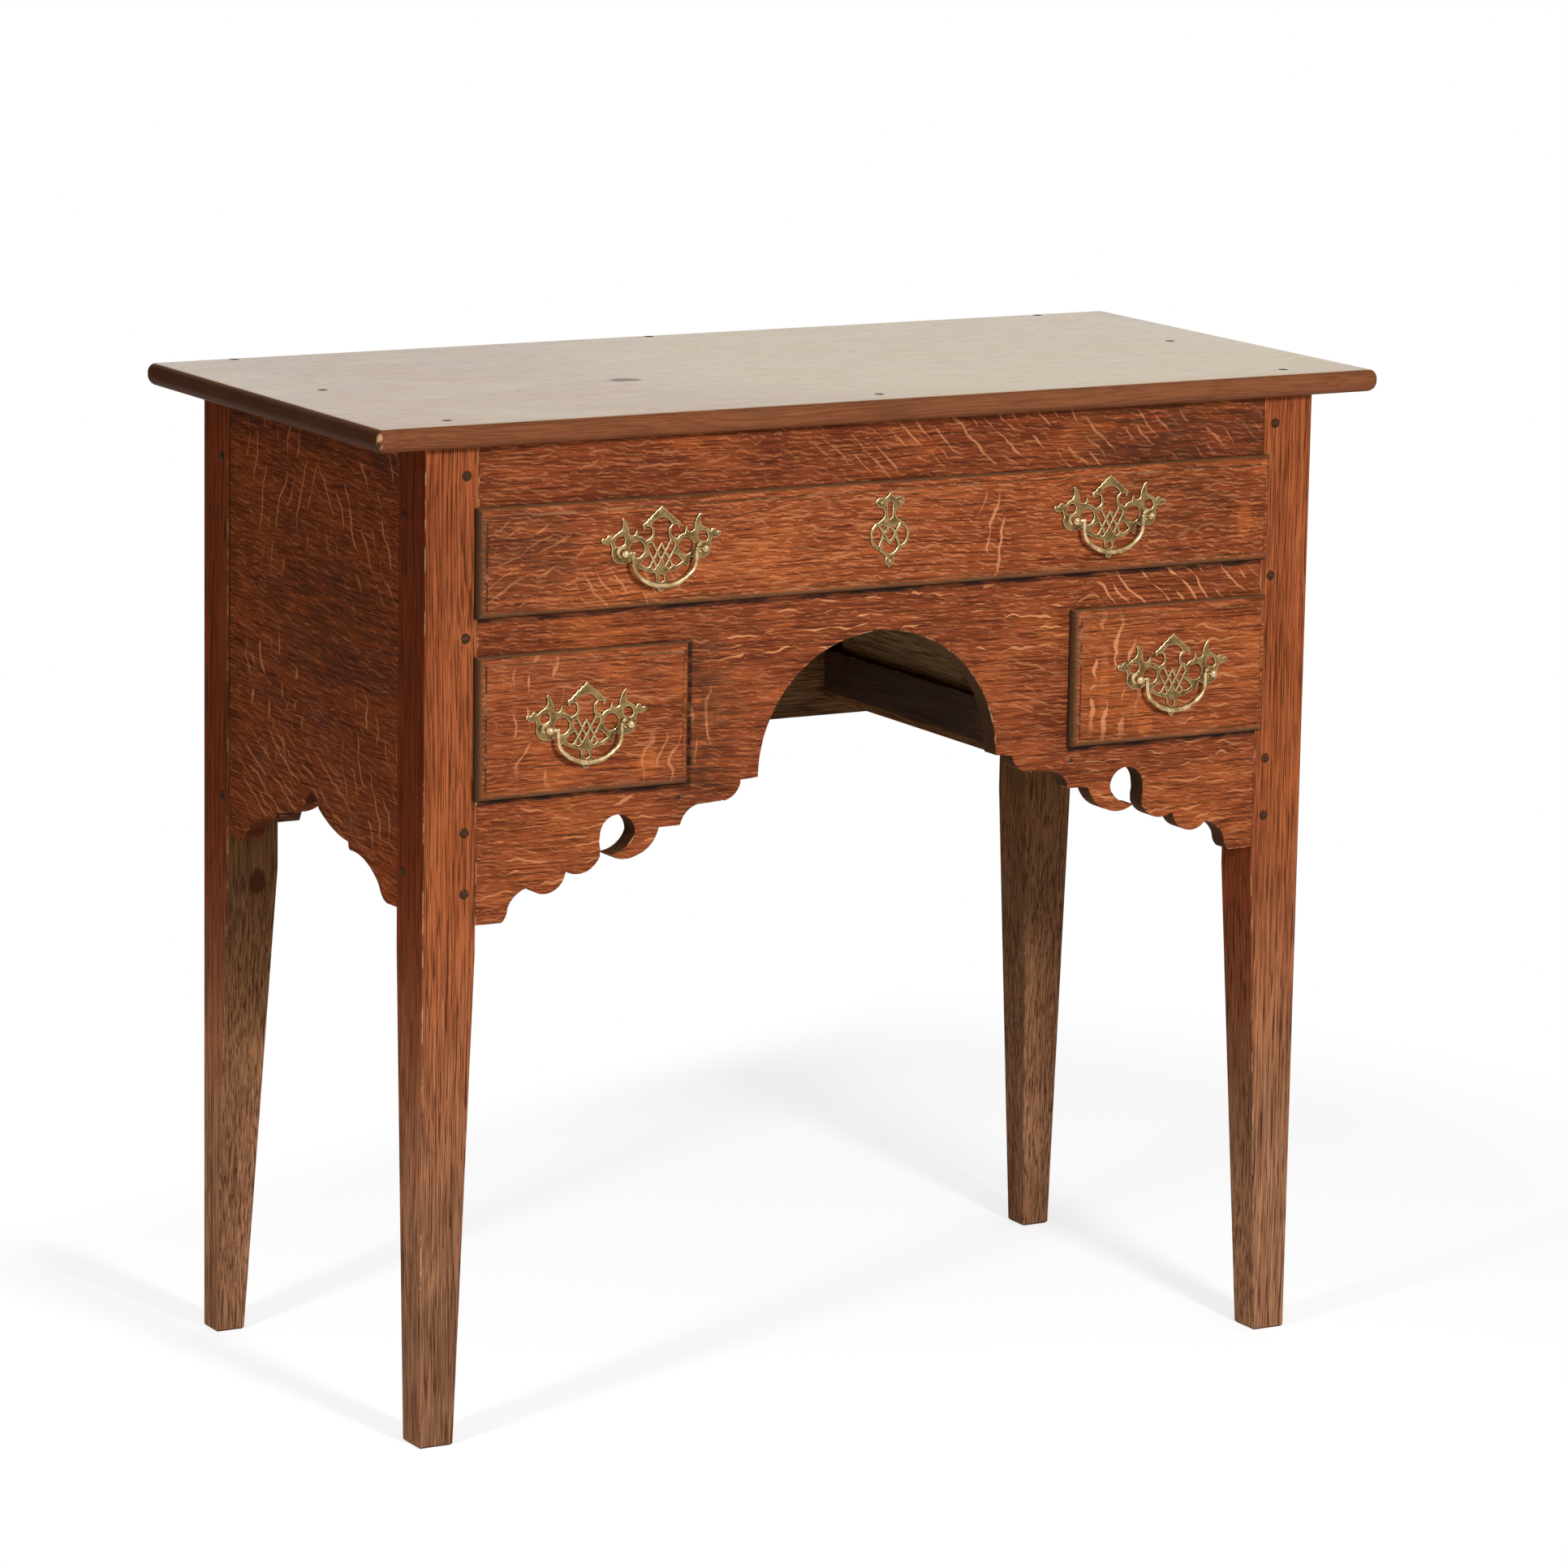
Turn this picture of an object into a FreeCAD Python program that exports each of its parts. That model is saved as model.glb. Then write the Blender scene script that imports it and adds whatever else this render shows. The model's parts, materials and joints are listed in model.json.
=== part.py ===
import FreeCAD, Part
import math
import os
import re
import Sketcher

# An oak lowboy on four square tapering legs: a long drawer over two short ones,
# a shaped apron with an arched knee space, and pierced brass handle plates.
# X runs to the right, Y to the back and Z up. The origin is on the floor, under
# the middle of the top board. All lengths are in millimetres.

DOC = FreeCAD.newDocument("lowboy")

# ---------------------------------------------------------------- driving sizes

SIZES = (
    ("overall_height", 710.0, "floor to the face of the top board"),
    ("case_width", 710.0, "over the outer faces of the posts"),
    ("case_depth", 352.0, "over the outer faces of the posts"),
    ("post_size", 40.0, "square section of a post above its taper"),
    ("front_foot", 25.7, "square section of a front leg at the floor"),
    ("back_foot", 22.0, "square section of a back leg at the floor"),
    ("post_below", 19.0, "square part of a post below the apron"),
    ("foot_bevel", 1.5, "bevel round the foot"),
    ("front_setback", 0.5, "rails behind the front faces of the posts"),
    ("rail_setback", 1.6, "panels and back board behind the faces of the posts"),
    ("top_thick", 16.0, "top board"),
    ("top_over_side", 44.6, "overhang of the top at each end"),
    ("top_over_front", 19.3, "overhang of the top at the front"),
    ("top_over_back", 1.8, "overhang of the top at the back"),
    ("top_upper_round", 6.0, "round on the upper edge of the top"),
    ("top_lower_round", 7.0, "round on the lower edge of the top"),
    ("top_corner_round", 5.0, "round on the upright corners of the top"),
    ("frieze_thick", 22.0, "frieze rail, front to back"),
    ("apron_thick", 16.0, "apron board, front to back"),
    ("panel_thick", 14.0, "side panel"),
    ("back_thick", 12.0, "back board"),
    ("frieze_high", 46.0, "height of the frieze rail"),
    ("long_open_high", 69.5, "height of the opening for the long drawer"),
    ("mid_rail_high", 32.0, "apron between the long and the short drawers"),
    ("short_open_high", 93.0, "height of the openings for the short drawers"),
    ("short_open_wide", 157.5, "width of the openings for the short drawers"),
    ("apron_below", 89.5, "apron below the short drawers, at the posts"),
    ("arch_radius", 96.0, "knee arch"),
    ("arch_below", 4.5, "spring of the knee arch below the short drawers' openings"),
    ("panel_high", 322.0, "height of a side panel at the posts"),
    ("panel_rise", 56.0, "rise of a side panel's lower edge to its middle"),
    ("back_high", 277.5, "height of the back board between its brackets"),
    ("back_bracket", 43.0, "length of the bracket at each end of the back board"),
    ("bracket_high", 44.0, "brackets of the back board, below its lower edge"),
    ("tenon_thick", 8.0, "tenons of the frieze rail and the apron"),
    ("tenon_long", 28.0, "tenons of the frieze rail and the apron"),
    ("panel_tenon_thick", 6.0, "tenons of the side panels and the back board"),
    ("panel_tenon_long", 20.0, "tenons of the side panels and the back board"),
    ("tenon_edge", 5.0, "shoulder above and below a tenon"),
    ("mid_tenon_edge", 2.5, "shoulder above and below the tenon of the middle rail"),
    ("top_shoulder", 12.0, "tenons below the top board"),
    ("panel_tenon_high", 84.0, "upper tenons of the panels and the back board"),
    ("panel_tenon_low", 10.0, "lower tenons of the panels and the back board, from their foot"),
    ("panel_tenon_rise", 65.0, "lower tenons of the panels and the back board"),
    ("joint_gap", 0.1, "clearance of a tenon in its mortise"),
    ("peg_radius", 3.5, "oak pegs"),
    ("peg_gap", 0.05, "clearance of a peg in its hole"),
    ("peg_deep", 26.0, "depth of a peg in a post"),
    ("peg_proud", 1.6, "domed head of a peg, proud of the post"),
    ("peg_from_joint", 9.0, "pegs from the shoulder of their tenons"),
    ("frieze_peg_drop", 21.0, "pegs of the frieze rail below the top board"),
    ("apron_peg_drop", 24.5, "middle pegs of the apron below the short drawers' openings"),
    ("apron_peg_rise", 22.8, "lowest pegs of the apron above its foot"),
    ("panel_peg_drop", 49.5, "upper pegs of the panels below the top board"),
    ("panel_peg_rise", 28.0, "lower pegs of the panels above their foot"),
    ("top_peg_deep", 27.0, "depth of the pegs that hold the top"),
    ("runner_thick", 16.0, "runners of the short drawers"),
    ("runner_inner_thick", 18.0, "inner runners of the short drawers"),
    ("runner_reach", 25.0, "runners, in from the faces of the posts"),
    ("guide_high", 20.0, "guides that stand on the outer runners"),
    ("inner_guide_high", 14.0, "guides that stand on the inner runners"),
    ("inner_runner_wide", 30.0, "inner runners of the short drawers"),
    ("inner_guide_thick", 7.0, "guides that stand on the inner runners"),
    ("kicker_high", 15.0, "rails that keep the long drawer level"),
    ("nail_radius", 1.6, "nails that hold the inner runners"),
    ("nail_long", 42.0, "nails that hold the inner runners"),
    ("nail_rise", 4.8, "nails above the underside of the inner runners"),
    ("lip_over", 3.0, "lip of a drawer front over its opening"),
    ("lip_thick", 6.6, "lip of a drawer front"),
    ("lip_round", 5.5, "ovolo round the lip of a drawer front"),
    ("field_step", 1.0, "flat field of a drawer front above its ovolo"),
    ("field_inset", 6.0, "field of a drawer front, in from its lip"),
    ("front_block", 14.0, "drawer front behind its lip"),
    ("seat_gap", 0.3, "drawer above its runners and in front of its case"),
    ("side_gap", 1.0, "drawer to each side of its opening"),
    ("head_gap", 0.8, "drawer under the rail above it"),
    ("rear_gap", 12.0, "drawer in front of the back board"),
    ("drawer_side_thick", 9.0, "drawer sides and backs"),
    ("drawer_bottom_thick", 8.0, "drawer bottoms"),
    ("bottom_rebate", 4.5, "rebate that takes a drawer bottom"),
    ("tail_long", 11.0, "lapped dovetails in a drawer front"),
    ("tail_flare", 1.8, "flare of a dovetail to each side"),
    ("long_pull_in", 135.0, "long drawer's handles from the posts of the case"),
    ("long_pull_rise", 2.0, "posts of the long drawer's handles above its middle"),
    ("short_pull_drop", 2.3, "posts of the short drawers' handles below their middle"),
    ("pull_bore", 31.0, "handle posts from the middle of their plate"),
    ("plate_thick", 1.6, "brass plates"),
    ("strap_wide", 1.5, "straps between the piercings of a plate"),
    ("ball_radius", 3.4, "ball heads of the handle posts"),
    ("ball_stand", 5.2, "ball heads in front of their plate"),
    ("neck_radius", 1.9, "neck and shank of a handle post"),
    ("collar_radius", 3.6, "collar of a handle post"),
    ("collar_high", 1.2, "collar of a handle post in front of the plate"),
    ("shank_out", 5.0, "shank of a handle post beyond the drawer front"),
    ("nut_size", 9.0, "square nuts inside the drawers"),
    ("nut_thick", 3.2, "square nuts inside the drawers"),
    ("bail_half_wide", 24.4, "bail, from its middle to a limb"),
    ("bail_limb", 7.0, "straight limb of a bail"),
    ("bail_drop", 17.2, "bow of a bail under its limbs"),
    ("bail_shoulder", 12.0, "radius of a bail's bow beside its limbs"),
    ("bail_thin", 1.4, "radius of a bail at its limbs"),
    ("bail_thick", 2.1, "radius of a bail at its middle"),
    ("bail_eye", 1.6, "rounded top of a bail's limbs"),
    ("pin_radius", 1.1, "pins of a bail"),
    ("pin_gap", 0.06, "clearance of a bail's pins in the ball heads"),
    ("pin_short", 0.5, "pins of a bail from the middle of the ball heads"),
    ("escutcheon_rise", 4.8, "escutcheon above the middle of the long drawer"),
    ("escutcheon_pin", 1.1, "pins of the escutcheon"),
    ("escutcheon_pin_deep", 6.4, "pins of the escutcheon behind its back"),
    ("escutcheon_pin_proud", 0.9, "heads of the escutcheon's pins in front of it"),
)

# Places that follow from the driving sizes.
LAYOUT = (
    ("half_width", "case_width / 2"),
    ("inner_x", "half_width - post_size"),
    ("panel_out", "half_width - rail_setback"),
    ("panel_in", "panel_out - panel_thick"),
    ("case_front", "(top_over_front - top_over_back - case_depth) / 2"),
    ("case_back", "case_front + case_depth"),
    ("front_face", "case_front + front_setback"),
    ("back_face", "case_back - rail_setback"),
    ("apron_back", "front_face + apron_thick"),
    ("frieze_back", "front_face + frieze_thick"),
    ("board_front", "back_face - back_thick"),
    ("post_front_in", "case_front + post_size"),
    ("post_back_in", "case_back - post_size"),
    ("under_top", "overall_height - top_thick"),
    ("frieze_low", "under_top - frieze_high"),
    ("apron_top", "frieze_low - long_open_high"),
    ("short_high", "apron_top - mid_rail_high"),
    ("short_low", "short_high - short_open_high"),
    ("apron_foot", "short_low - apron_below"),
    ("arch_spring", "short_low - arch_below"),
    ("taper_start", "apron_foot - post_below"),
    ("panel_foot", "under_top - panel_high"),
    ("back_low", "under_top - back_high"),
    ("back_foot_z", "back_low - bracket_high"),
    ("short_inner_x", "inner_x - short_open_wide"),
    ("long_pull_x", "inner_x - long_pull_in"),
    ("long_pull_z", "(frieze_low + apron_top) / 2 + long_pull_rise"),
    ("short_pull_z", "(short_low + short_high) / 2 - short_pull_drop"),
    ("escutcheon_z", "(frieze_low + apron_top) / 2 + escutcheon_rise"),
    ("lip_plane", "case_front - seat_gap"),
    ("lip_front", "lip_plane - lip_thick"),
    ("field_plane", "lip_front - field_step"),
    ("block_back", "lip_plane + front_block"),
    ("drawer_end", "board_front - rear_gap"),
    ("ball_y", "field_plane - plate_thick - ball_stand"),
    ("dome_radius", "(peg_radius * peg_radius + peg_proud * peg_proud) / (2 * peg_proud)"),
    ("long_box_half", "inner_x - side_gap"),
    ("long_box_low", "apron_top + seat_gap"),
    ("long_box_high", "frieze_low - head_gap"),
    ("short_box_in", "short_inner_x + side_gap"),
    ("short_box_out", "inner_x - side_gap"),
    ("short_box_low", "short_low + seat_gap"),
    ("short_box_high", "short_high - head_gap"),
    ("short_middle", "(short_inner_x + inner_x) / 2"),
)

SIZE_NAMES = [row[0] for row in SIZES]
LAYOUT_NAMES = [row[0] for row in LAYOUT]


def qualified(match):
    """A size's name as the document knows it."""
    name = match.group(0)
    if name in SIZE_NAMES:
        return "Sizes." + name
    if name in LAYOUT_NAMES:
        return "Layout." + name
    raise NameError("no size is called " + name)


def formula(text):
    """Turn a formula in plain names into one that the document can follow."""
    return re.sub(r"[a-z][a-z_]+", qualified, text)


def make_sizes():
    """Write the driving sizes, one row each: a name, a plain number and a note."""
    sheet = DOC.addObject("Spreadsheet::Sheet", "Sizes")
    for row, (name, number, note) in enumerate(SIZES, 1):
        sheet.set("A%d" % row, name)
        sheet.set("B%d" % row, "%g" % number)
        sheet.set("C%d" % row, note)
        sheet.setAlias("B%d" % row, name)
    return sheet


def make_layout():
    """Write the places that follow from the sizes, one formula each."""
    sheet = DOC.addObject("Spreadsheet::Sheet", "Layout")
    for row, (name, text) in enumerate(LAYOUT, 1):
        sheet.set("A%d" % row, name)
        sheet.setAlias("B%d" % row, name)
    for row, (name, text) in enumerate(LAYOUT, 1):
        words = re.sub(r"\bLayout\.", "", formula(text))
        sheet.set("B%d" % row, "=" + words)
    return sheet


SHEET = make_sizes()
PLACES = make_layout()
DOC.recompute()


def value(name):
    """A size or a place as a number."""
    sheet = SHEET if name in SIZE_NAMES else PLACES
    return float(sheet.get(name))


# ---------------------------------------------------------------- small helpers

def label(item, name):
    item.Label = name
    NODES[name] = item
    return item


NODES = {}


def move(item, corner):
    """Tie an object's place to three formulas."""
    for axis, text in zip("xyz", corner):
        item.setExpression("Placement.Base." + axis, formula(text))


def box(name, corner, sides):
    """A board whose lowest corner and three sides are formulas."""
    item = DOC.addObject("Part::Box", name)
    for prop, text in zip(("Length", "Width", "Height"), sides):
        item.setExpression(prop, formula(text))
    move(item, corner)
    return item


def span_box(name, x, y, z, grow="0"):
    """A board between pairs of formulas on each axis, grown by a clearance."""
    corner = ["(%s) - (%s)" % (pair[0], grow) for pair in (x, y, z)]
    sides = ["(%s) - (%s) + 2 * (%s)" % (pair[1], pair[0], grow) for pair in (x, y, z)]
    return box(name, corner, sides)


def sided(side, near, far):
    """The span from near to far on the right, or its mirror on the left."""
    if side > 0:
        return (near, far)
    return ("-(%s)" % far, "-(%s)" % near)


def fuse(name, pieces):
    item = DOC.addObject("Part::MultiFuse", name)
    item.Shapes = pieces
    return item


def cut(name, base, tools):
    """Take one tool or several from a base."""
    item = DOC.addObject("Part::Cut", name)
    item.Base = base
    item.Tool = tools[0] if len(tools) == 1 else fuse(name + "_tools", tools)
    return item


def group(name, pieces):
    """Separate solids that share one node."""
    item = DOC.addObject("Part::Compound", name)
    item.Links = pieces
    return item


def make_body(name):
    return DOC.addObject("PartDesign::Body", name)


def plane_sketch(body, name, role, lift="0"):
    """An empty sketch on one of the body's own origin planes."""
    plane = [item for item in body.Origin.OriginFeatures if item.Role == role][0]
    sketch = body.newObject("Sketcher::SketchObject", name)
    sketch.AttachmentSupport = (plane, [""])
    sketch.MapMode = "FlatFace"
    if lift != "0":
        sketch.setExpression("AttachmentOffset.Base.z", formula(lift))
    return sketch


def rectangle(sketch, wide, high, inset=None, turn=(1, 1)):
    """Draw a rectangle from the sketch's origin, or set in from it, with bound sides.

    turn says to which side of the origin it lies along each axis.
    """
    u, v = turn
    corners = [(0, 0), (u, 0), (u, v), (0, v)]
    points = [FreeCAD.Vector(10.0 * a, 10.0 * b, 0) for a, b in corners]
    for start, end in zip(points, points[1:] + points[:1]):
        sketch.addGeometry(Part.LineSegment(start, end), False)
    for edge in range(4):
        sketch.addConstraint(Sketcher.Constraint("Coincident", edge, 2, (edge + 1) % 4, 1))
    for kind, edge in (("Horizontal", 0), ("Vertical", 1), ("Horizontal", 2), ("Vertical", 3)):
        sketch.addConstraint(Sketcher.Constraint(kind, edge))
    ends = ((0, 1), (0, 2)) if u > 0 else ((0, 2), (0, 1))
    bound(sketch, "DistanceX", ends, wide)
    ends = ((1, 1), (1, 2)) if v > 0 else ((1, 2), (1, 1))
    bound(sketch, "DistanceY", ends, high)
    if inset is None:
        sketch.addConstraint(Sketcher.Constraint("Coincident", 0, 1, -1, 1))
        return
    bound(sketch, "DistanceX", ((-1, 1), (0, 1)), inset)
    bound(sketch, "DistanceY", ((-1, 1), (0, 1)), inset)


def taper_triangle(sketch, foot, turn):
    """The waste that is sawn off one inner face of a leg, from its taper to its foot."""
    corners = ((10.0, 0.0), (20.0, 100.0), (20.0, 0.0))
    points = [FreeCAD.Vector(turn * u, v, 0) for u, v in corners]
    for start, end in zip(points, points[1:] + points[:1]):
        sketch.addGeometry(Part.LineSegment(start, end), False)
    for edge in range(3):
        sketch.addConstraint(Sketcher.Constraint("Coincident", edge, 2, (edge + 1) % 3, 1))
    sketch.addConstraint(Sketcher.Constraint("Vertical", 1))
    sketch.addConstraint(Sketcher.Constraint("Horizontal", 2))
    sketch.addConstraint(Sketcher.Constraint("PointOnObject", 0, 1, -1))
    origin = (-1, 1)
    for spot, text in (((0, 1), foot), ((1, 1), "post_size")):
        bound(sketch, "DistanceX", (origin, spot) if turn > 0 else (spot, origin), text)
    bound(sketch, "DistanceY", (origin, (1, 1)), "taper_start")


def bound(sketch, kind, ends, text):
    """Add a distance that follows a formula."""
    (first, first_end), (second, second_end) = ends
    rule = Sketcher.Constraint(kind, first, first_end, second, second_end, 10.0)
    index = sketch.addConstraint(rule)
    sketch.setExpression("Constraints[%d]" % index, formula(text))


def draw(sketch, points):
    """Draw an outline: each step is an end point, or a middle and an end for an arc."""
    vectors = [[FreeCAD.Vector(p[0], p[1], 0) for p in step] for step in points]
    here = vectors[0][-1]
    for step in vectors[1:]:
        if len(step) == 1:
            sketch.addGeometry(Part.LineSegment(here, step[0]), False)
        else:
            sketch.addGeometry(Part.Arc(here, step[0], step[1]), False)
        here = step[-1]


def circle(sketch, centre, radius):
    spot = FreeCAD.Vector(centre[0], centre[1], 0)
    sketch.addGeometry(Part.Circle(spot, FreeCAD.Vector(0, 0, 1), radius), False)


def pad(body, name, sketch, length, back=False):
    """Pad a sketch; back sends it to the far side of its plane."""
    item = body.newObject("PartDesign::Pad", name)
    item.Profile = sketch
    item.Reversed = back
    item.setExpression("Length", formula(length))
    body.Tip = item
    return item


def pocket_through(body, name, sketch):
    item = body.newObject("PartDesign::Pocket", name)
    item.Profile = sketch
    item.Type = 1
    item.Midplane = True
    body.Tip = item
    return item


def dress(body, name, kind, prop, amount, chosen):
    """Round or bevel the edges of the body's last feature that a test picks."""
    DOC.recompute()
    base = body.Tip
    names = []
    for index, edge in enumerate(base.Shape.Edges, 1):
        if chosen(edge):
            names.append("Edge%d" % index)
    item = body.newObject("PartDesign::" + kind, name)
    item.Base = (base, names)
    item.setExpression(prop, formula(amount))
    body.Tip = item
    return item


def lies_at(edge, axis, height):
    """True if the whole edge lies at one height along an axis."""
    low = getattr(edge.BoundBox, axis + "Min")
    high = getattr(edge.BoundBox, axis + "Max")
    return abs(low - height) < 1e-3 and abs(high - height) < 1e-3


def mirrored(half):
    """Complete an outline that is drawn for the right half, from its start to its end.

    The left half runs back along the same steps.
    """
    steps = list(half)
    ends = [step[-1] for step in half]
    for index in range(len(half) - 1, 0, -1):
        before = ends[index - 1]
        if len(half[index]) == 1:
            steps.append(((-before[0], before[1]),))
        else:
            middle = half[index][0]
            steps.append(((-middle[0], middle[1]), (-before[0], before[1])))
    return steps


def turned_over(outline, sign):
    """An outline of the right half, or with sign -1 its image in the left half."""
    return [tuple((sign * x, z) for x, z in step) for step in outline]


# ---------------------------------------------------------------- joints of the case

# Rail tenons: name, lowest and highest edge. They enter the front posts.
RAIL_TENONS = (
    ("frieze", "frieze_low + tenon_edge", "under_top - top_shoulder"),
    ("apron_upper", "short_high + mid_tenon_edge", "apron_top - mid_tenon_edge"),
    ("apron_lower", "apron_foot + tenon_edge", "short_low - tenon_edge"),
)

# Panel tenons: they enter front and back posts.
PANEL_TENONS = (
    ("upper", "under_top - top_shoulder - panel_tenon_high", "under_top - top_shoulder"),
    ("lower", "panel_foot + panel_tenon_low", "panel_foot + panel_tenon_low + panel_tenon_rise"),
)


def rail_tenon(name, side, low, high, grow="0"):
    x = sided(side, "inner_x", "inner_x + tenon_long")
    middle = "front_face + apron_thick / 2"
    y = (middle + " - tenon_thick / 2", middle + " + tenon_thick / 2")
    return span_box(name, x, y, (low, high), grow)


def back_tenon(name, side, low, high, grow="0"):
    x = sided(side, "inner_x", "inner_x + panel_tenon_long")
    middle = "back_face - back_thick / 2"
    y = (middle + " - panel_tenon_thick / 2", middle + " + panel_tenon_thick / 2")
    return span_box(name, x, y, (low, high), grow)


def panel_tenon(name, side, end, low, high, grow="0"):
    middle = "panel_out - panel_thick / 2"
    x = sided(side, middle + " - panel_tenon_thick / 2", middle + " + panel_tenon_thick / 2")
    if end < 0:
        y = ("post_front_in - panel_tenon_long", "post_front_in")
    else:
        y = ("post_back_in", "post_back_in + panel_tenon_long")
    return span_box(name, x, y, (low, high), grow)


# ---------------------------------------------------------------- pegs and nails

TURNS = {
    "front": FreeCAD.Rotation(FreeCAD.Vector(1, 0, 0), 90),
    "back": FreeCAD.Rotation(FreeCAD.Vector(1, 0, 0), -90),
    "left": FreeCAD.Rotation(FreeCAD.Vector(0, 1, 0), -90),
    "right": FreeCAD.Rotation(FreeCAD.Vector(0, 1, 0), 90),
    "up": FreeCAD.Rotation(),
}


def rod(name, facing, start, radius, length):
    """A round rod that runs from its inner end out towards the way it faces."""
    item = DOC.addObject("Part::Cylinder", name)
    item.Placement = FreeCAD.Placement(FreeCAD.Vector(0, 0, 0), TURNS[facing])
    item.setExpression("Radius", formula(radius))
    item.setExpression("Height", formula(length))
    move(item, start)
    return item


def peg(name, facing, start):
    """An oak peg whose head is a shallow dome."""
    shaft = rod(name + "_shaft", facing, start, "peg_radius", "peg_deep")
    dome = DOC.addObject("Part::Sphere", name + "_dome")
    dome.Placement = FreeCAD.Placement(FreeCAD.Vector(0, 0, 0), TURNS[facing])
    dome.setExpression("Radius", formula("dome_radius"))
    dome.setExpression("Angle1", "asin(1 - %s)" % formula("peg_proud / dome_radius"))
    outwards = TURNS[facing].multVec(FreeCAD.Vector(0, 0, 1))
    rise = "(peg_deep + peg_proud - dome_radius)"
    centre = ["(%s) + (%d) * %s" % (text, round(part), rise) for text, part in zip(start, outwards)]
    move(dome, centre)
    return fuse(name, [shaft, dome])


FRONT_PEG_HEIGHTS = (
    "under_top - frieze_peg_drop",
    "(short_high + apron_top) / 2",
    "short_low - apron_peg_drop",
    "apron_foot + apron_peg_rise",
)

PANEL_PEG_HEIGHTS = (
    "under_top - panel_peg_drop",
    "panel_foot + panel_peg_rise",
)


def case_pegs():
    """Every peg of the case as a start, a direction, a length and its group."""
    rows = []
    for side, where in ((-1, "left"), (1, "right")):
        x = "%d * (inner_x + peg_from_joint)" % side
        for index, high in enumerate(FRONT_PEG_HEIGHTS):
            start = (x, "case_front + peg_deep", high)
            rows.append(("front_pegs", where, index, "front", start, "peg_deep + peg_proud"))
        for index, high in enumerate(PANEL_PEG_HEIGHTS):
            start = (x, "case_back - peg_deep", high)
            rows.append(("back_pegs", where, index, "back", start, "peg_deep + peg_proud"))
            inner = "%d * (half_width - peg_deep)" % side
            for step, end in enumerate(("post_front_in - peg_from_joint", "post_back_in + peg_from_joint")):
                rows.append((where + "_side_pegs", where, 2 * index + step, where,
                             (inner, end, high), "peg_deep + peg_proud"))
    low = "overall_height - top_peg_deep"
    mid_rail = "front_face + apron_thick / 2"
    mid_back = "back_face - back_thick / 2"
    mid_panel = "panel_out - panel_thick / 2"
    across = ("-(inner_x + half_width) / 2", "0", "(inner_x + half_width) / 2")
    for index, x in enumerate(across):
        rows.append(("top_pegs", "front", index, "up", (x, mid_rail, low), "top_peg_deep"))
        rows.append(("top_pegs", "back", index, "up", (x, mid_back, low), "top_peg_deep"))
    for index, sign in enumerate(("-", "")):
        rows.append(("top_pegs", "side", index, "up",
                     (sign + "(" + mid_panel + ")", "(case_front + case_back) / 2", low), "top_peg_deep"))
    return rows


PEG_ROWS = case_pegs()


def make_pegs():
    """The pegs themselves, grouped by the face that shows them."""
    groups = {}
    for family, where, index, facing, start, length in PEG_ROWS:
        name = "%s_%s_%d" % (family, where, index)
        if facing == "up":
            item = rod(name, facing, start, "peg_radius", length)
        else:
            item = peg(name, facing, start)
        groups.setdefault(family, []).append(item)
    for family, pieces in groups.items():
        label(group(family, pieces), family)


def peg_holes(owner, wanted):
    """Holes for the pegs whose rows pass a test, a little wider than the pegs."""
    holes = []
    for family, where, index, facing, start, length in PEG_ROWS:
        if wanted(family, where, index):
            name = "%s_hole_%s_%s_%d" % (owner, family, where, index)
            holes.append(rod(name, facing, start, "peg_radius + peg_gap", length))
    return holes


# ---------------------------------------------------------------- the case

def make_leg(name, side, end):
    """A post whose two inner faces taper to the foot. side is -1 left, end is -1 front."""
    foot = "front_foot" if end < 0 else "back_foot"
    body = make_body(name + "_post")
    square = plane_sketch(body, name + "_square", "XY_Plane")
    rectangle(square, "post_size", "post_size", None, (-side, -end))
    pad(body, name + "_pad", square, "under_top")
    for plane, turn in (("XZ_Plane", -side), ("YZ_Plane", -end)):
        waste = plane_sketch(body, name + "_waste_" + plane[:2], plane)
        taper_triangle(waste, foot, turn)
        pocket_through(body, name + "_taper_" + plane[:2], waste)
    dress(body, name + "_bevel", "Chamfer", "Size", "foot_bevel", lambda edge: lies_at(edge, "Z", 0.0))
    move(body, ("%d * half_width" % side, "case_front" if end < 0 else "case_back", "0"))
    tools = []
    if end < 0:
        for key, lower, upper in RAIL_TENONS:
            tools.append(rail_tenon(name + "_mortise_" + key, side, lower, upper, "joint_gap"))
    else:
        for key, lower, upper in PANEL_TENONS:
            tools.append(back_tenon(name + "_mortise_back_" + key, side, lower, upper, "joint_gap"))
    for key, lower, upper in PANEL_TENONS:
        tools.append(panel_tenon(name + "_mortise_side_" + key, side, end, lower, upper, "joint_gap"))
    where = "left" if side < 0 else "right"
    row = "front" if end < 0 else "back"
    column = 0 if side < 0 else 2
    step = 0 if end < 0 else 1

    def mine(family, place, index):
        if family == "top_pegs":
            return place == row and index == column
        if family == where + "_side_pegs":
            return index % 2 == step
        return family == row + "_pegs" and place == where

    tools += peg_holes(name, mine)
    label(cut(name, body, tools), name)


def make_frieze():
    """The rail under the front edge of the top."""
    board = span_box("frieze_board", ("-inner_x", "inner_x"), ("front_face", "frieze_back"),
                     ("frieze_low", "under_top"))
    key, low, high = RAIL_TENONS[0]
    pieces = [board]
    for side, where in ((-1, "left"), (1, "right")):
        pieces.append(rail_tenon("frieze_tenon_" + where, side, low, high))
    whole = fuse("frieze_whole", pieces)

    def mine(family, place, index):
        if family == "top_pegs":
            return place == "front" and index == 1
        return family == "front_pegs" and index == 0

    label(cut("frieze_rail", whole, peg_holes("frieze_rail", mine)), "frieze_rail")


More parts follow.
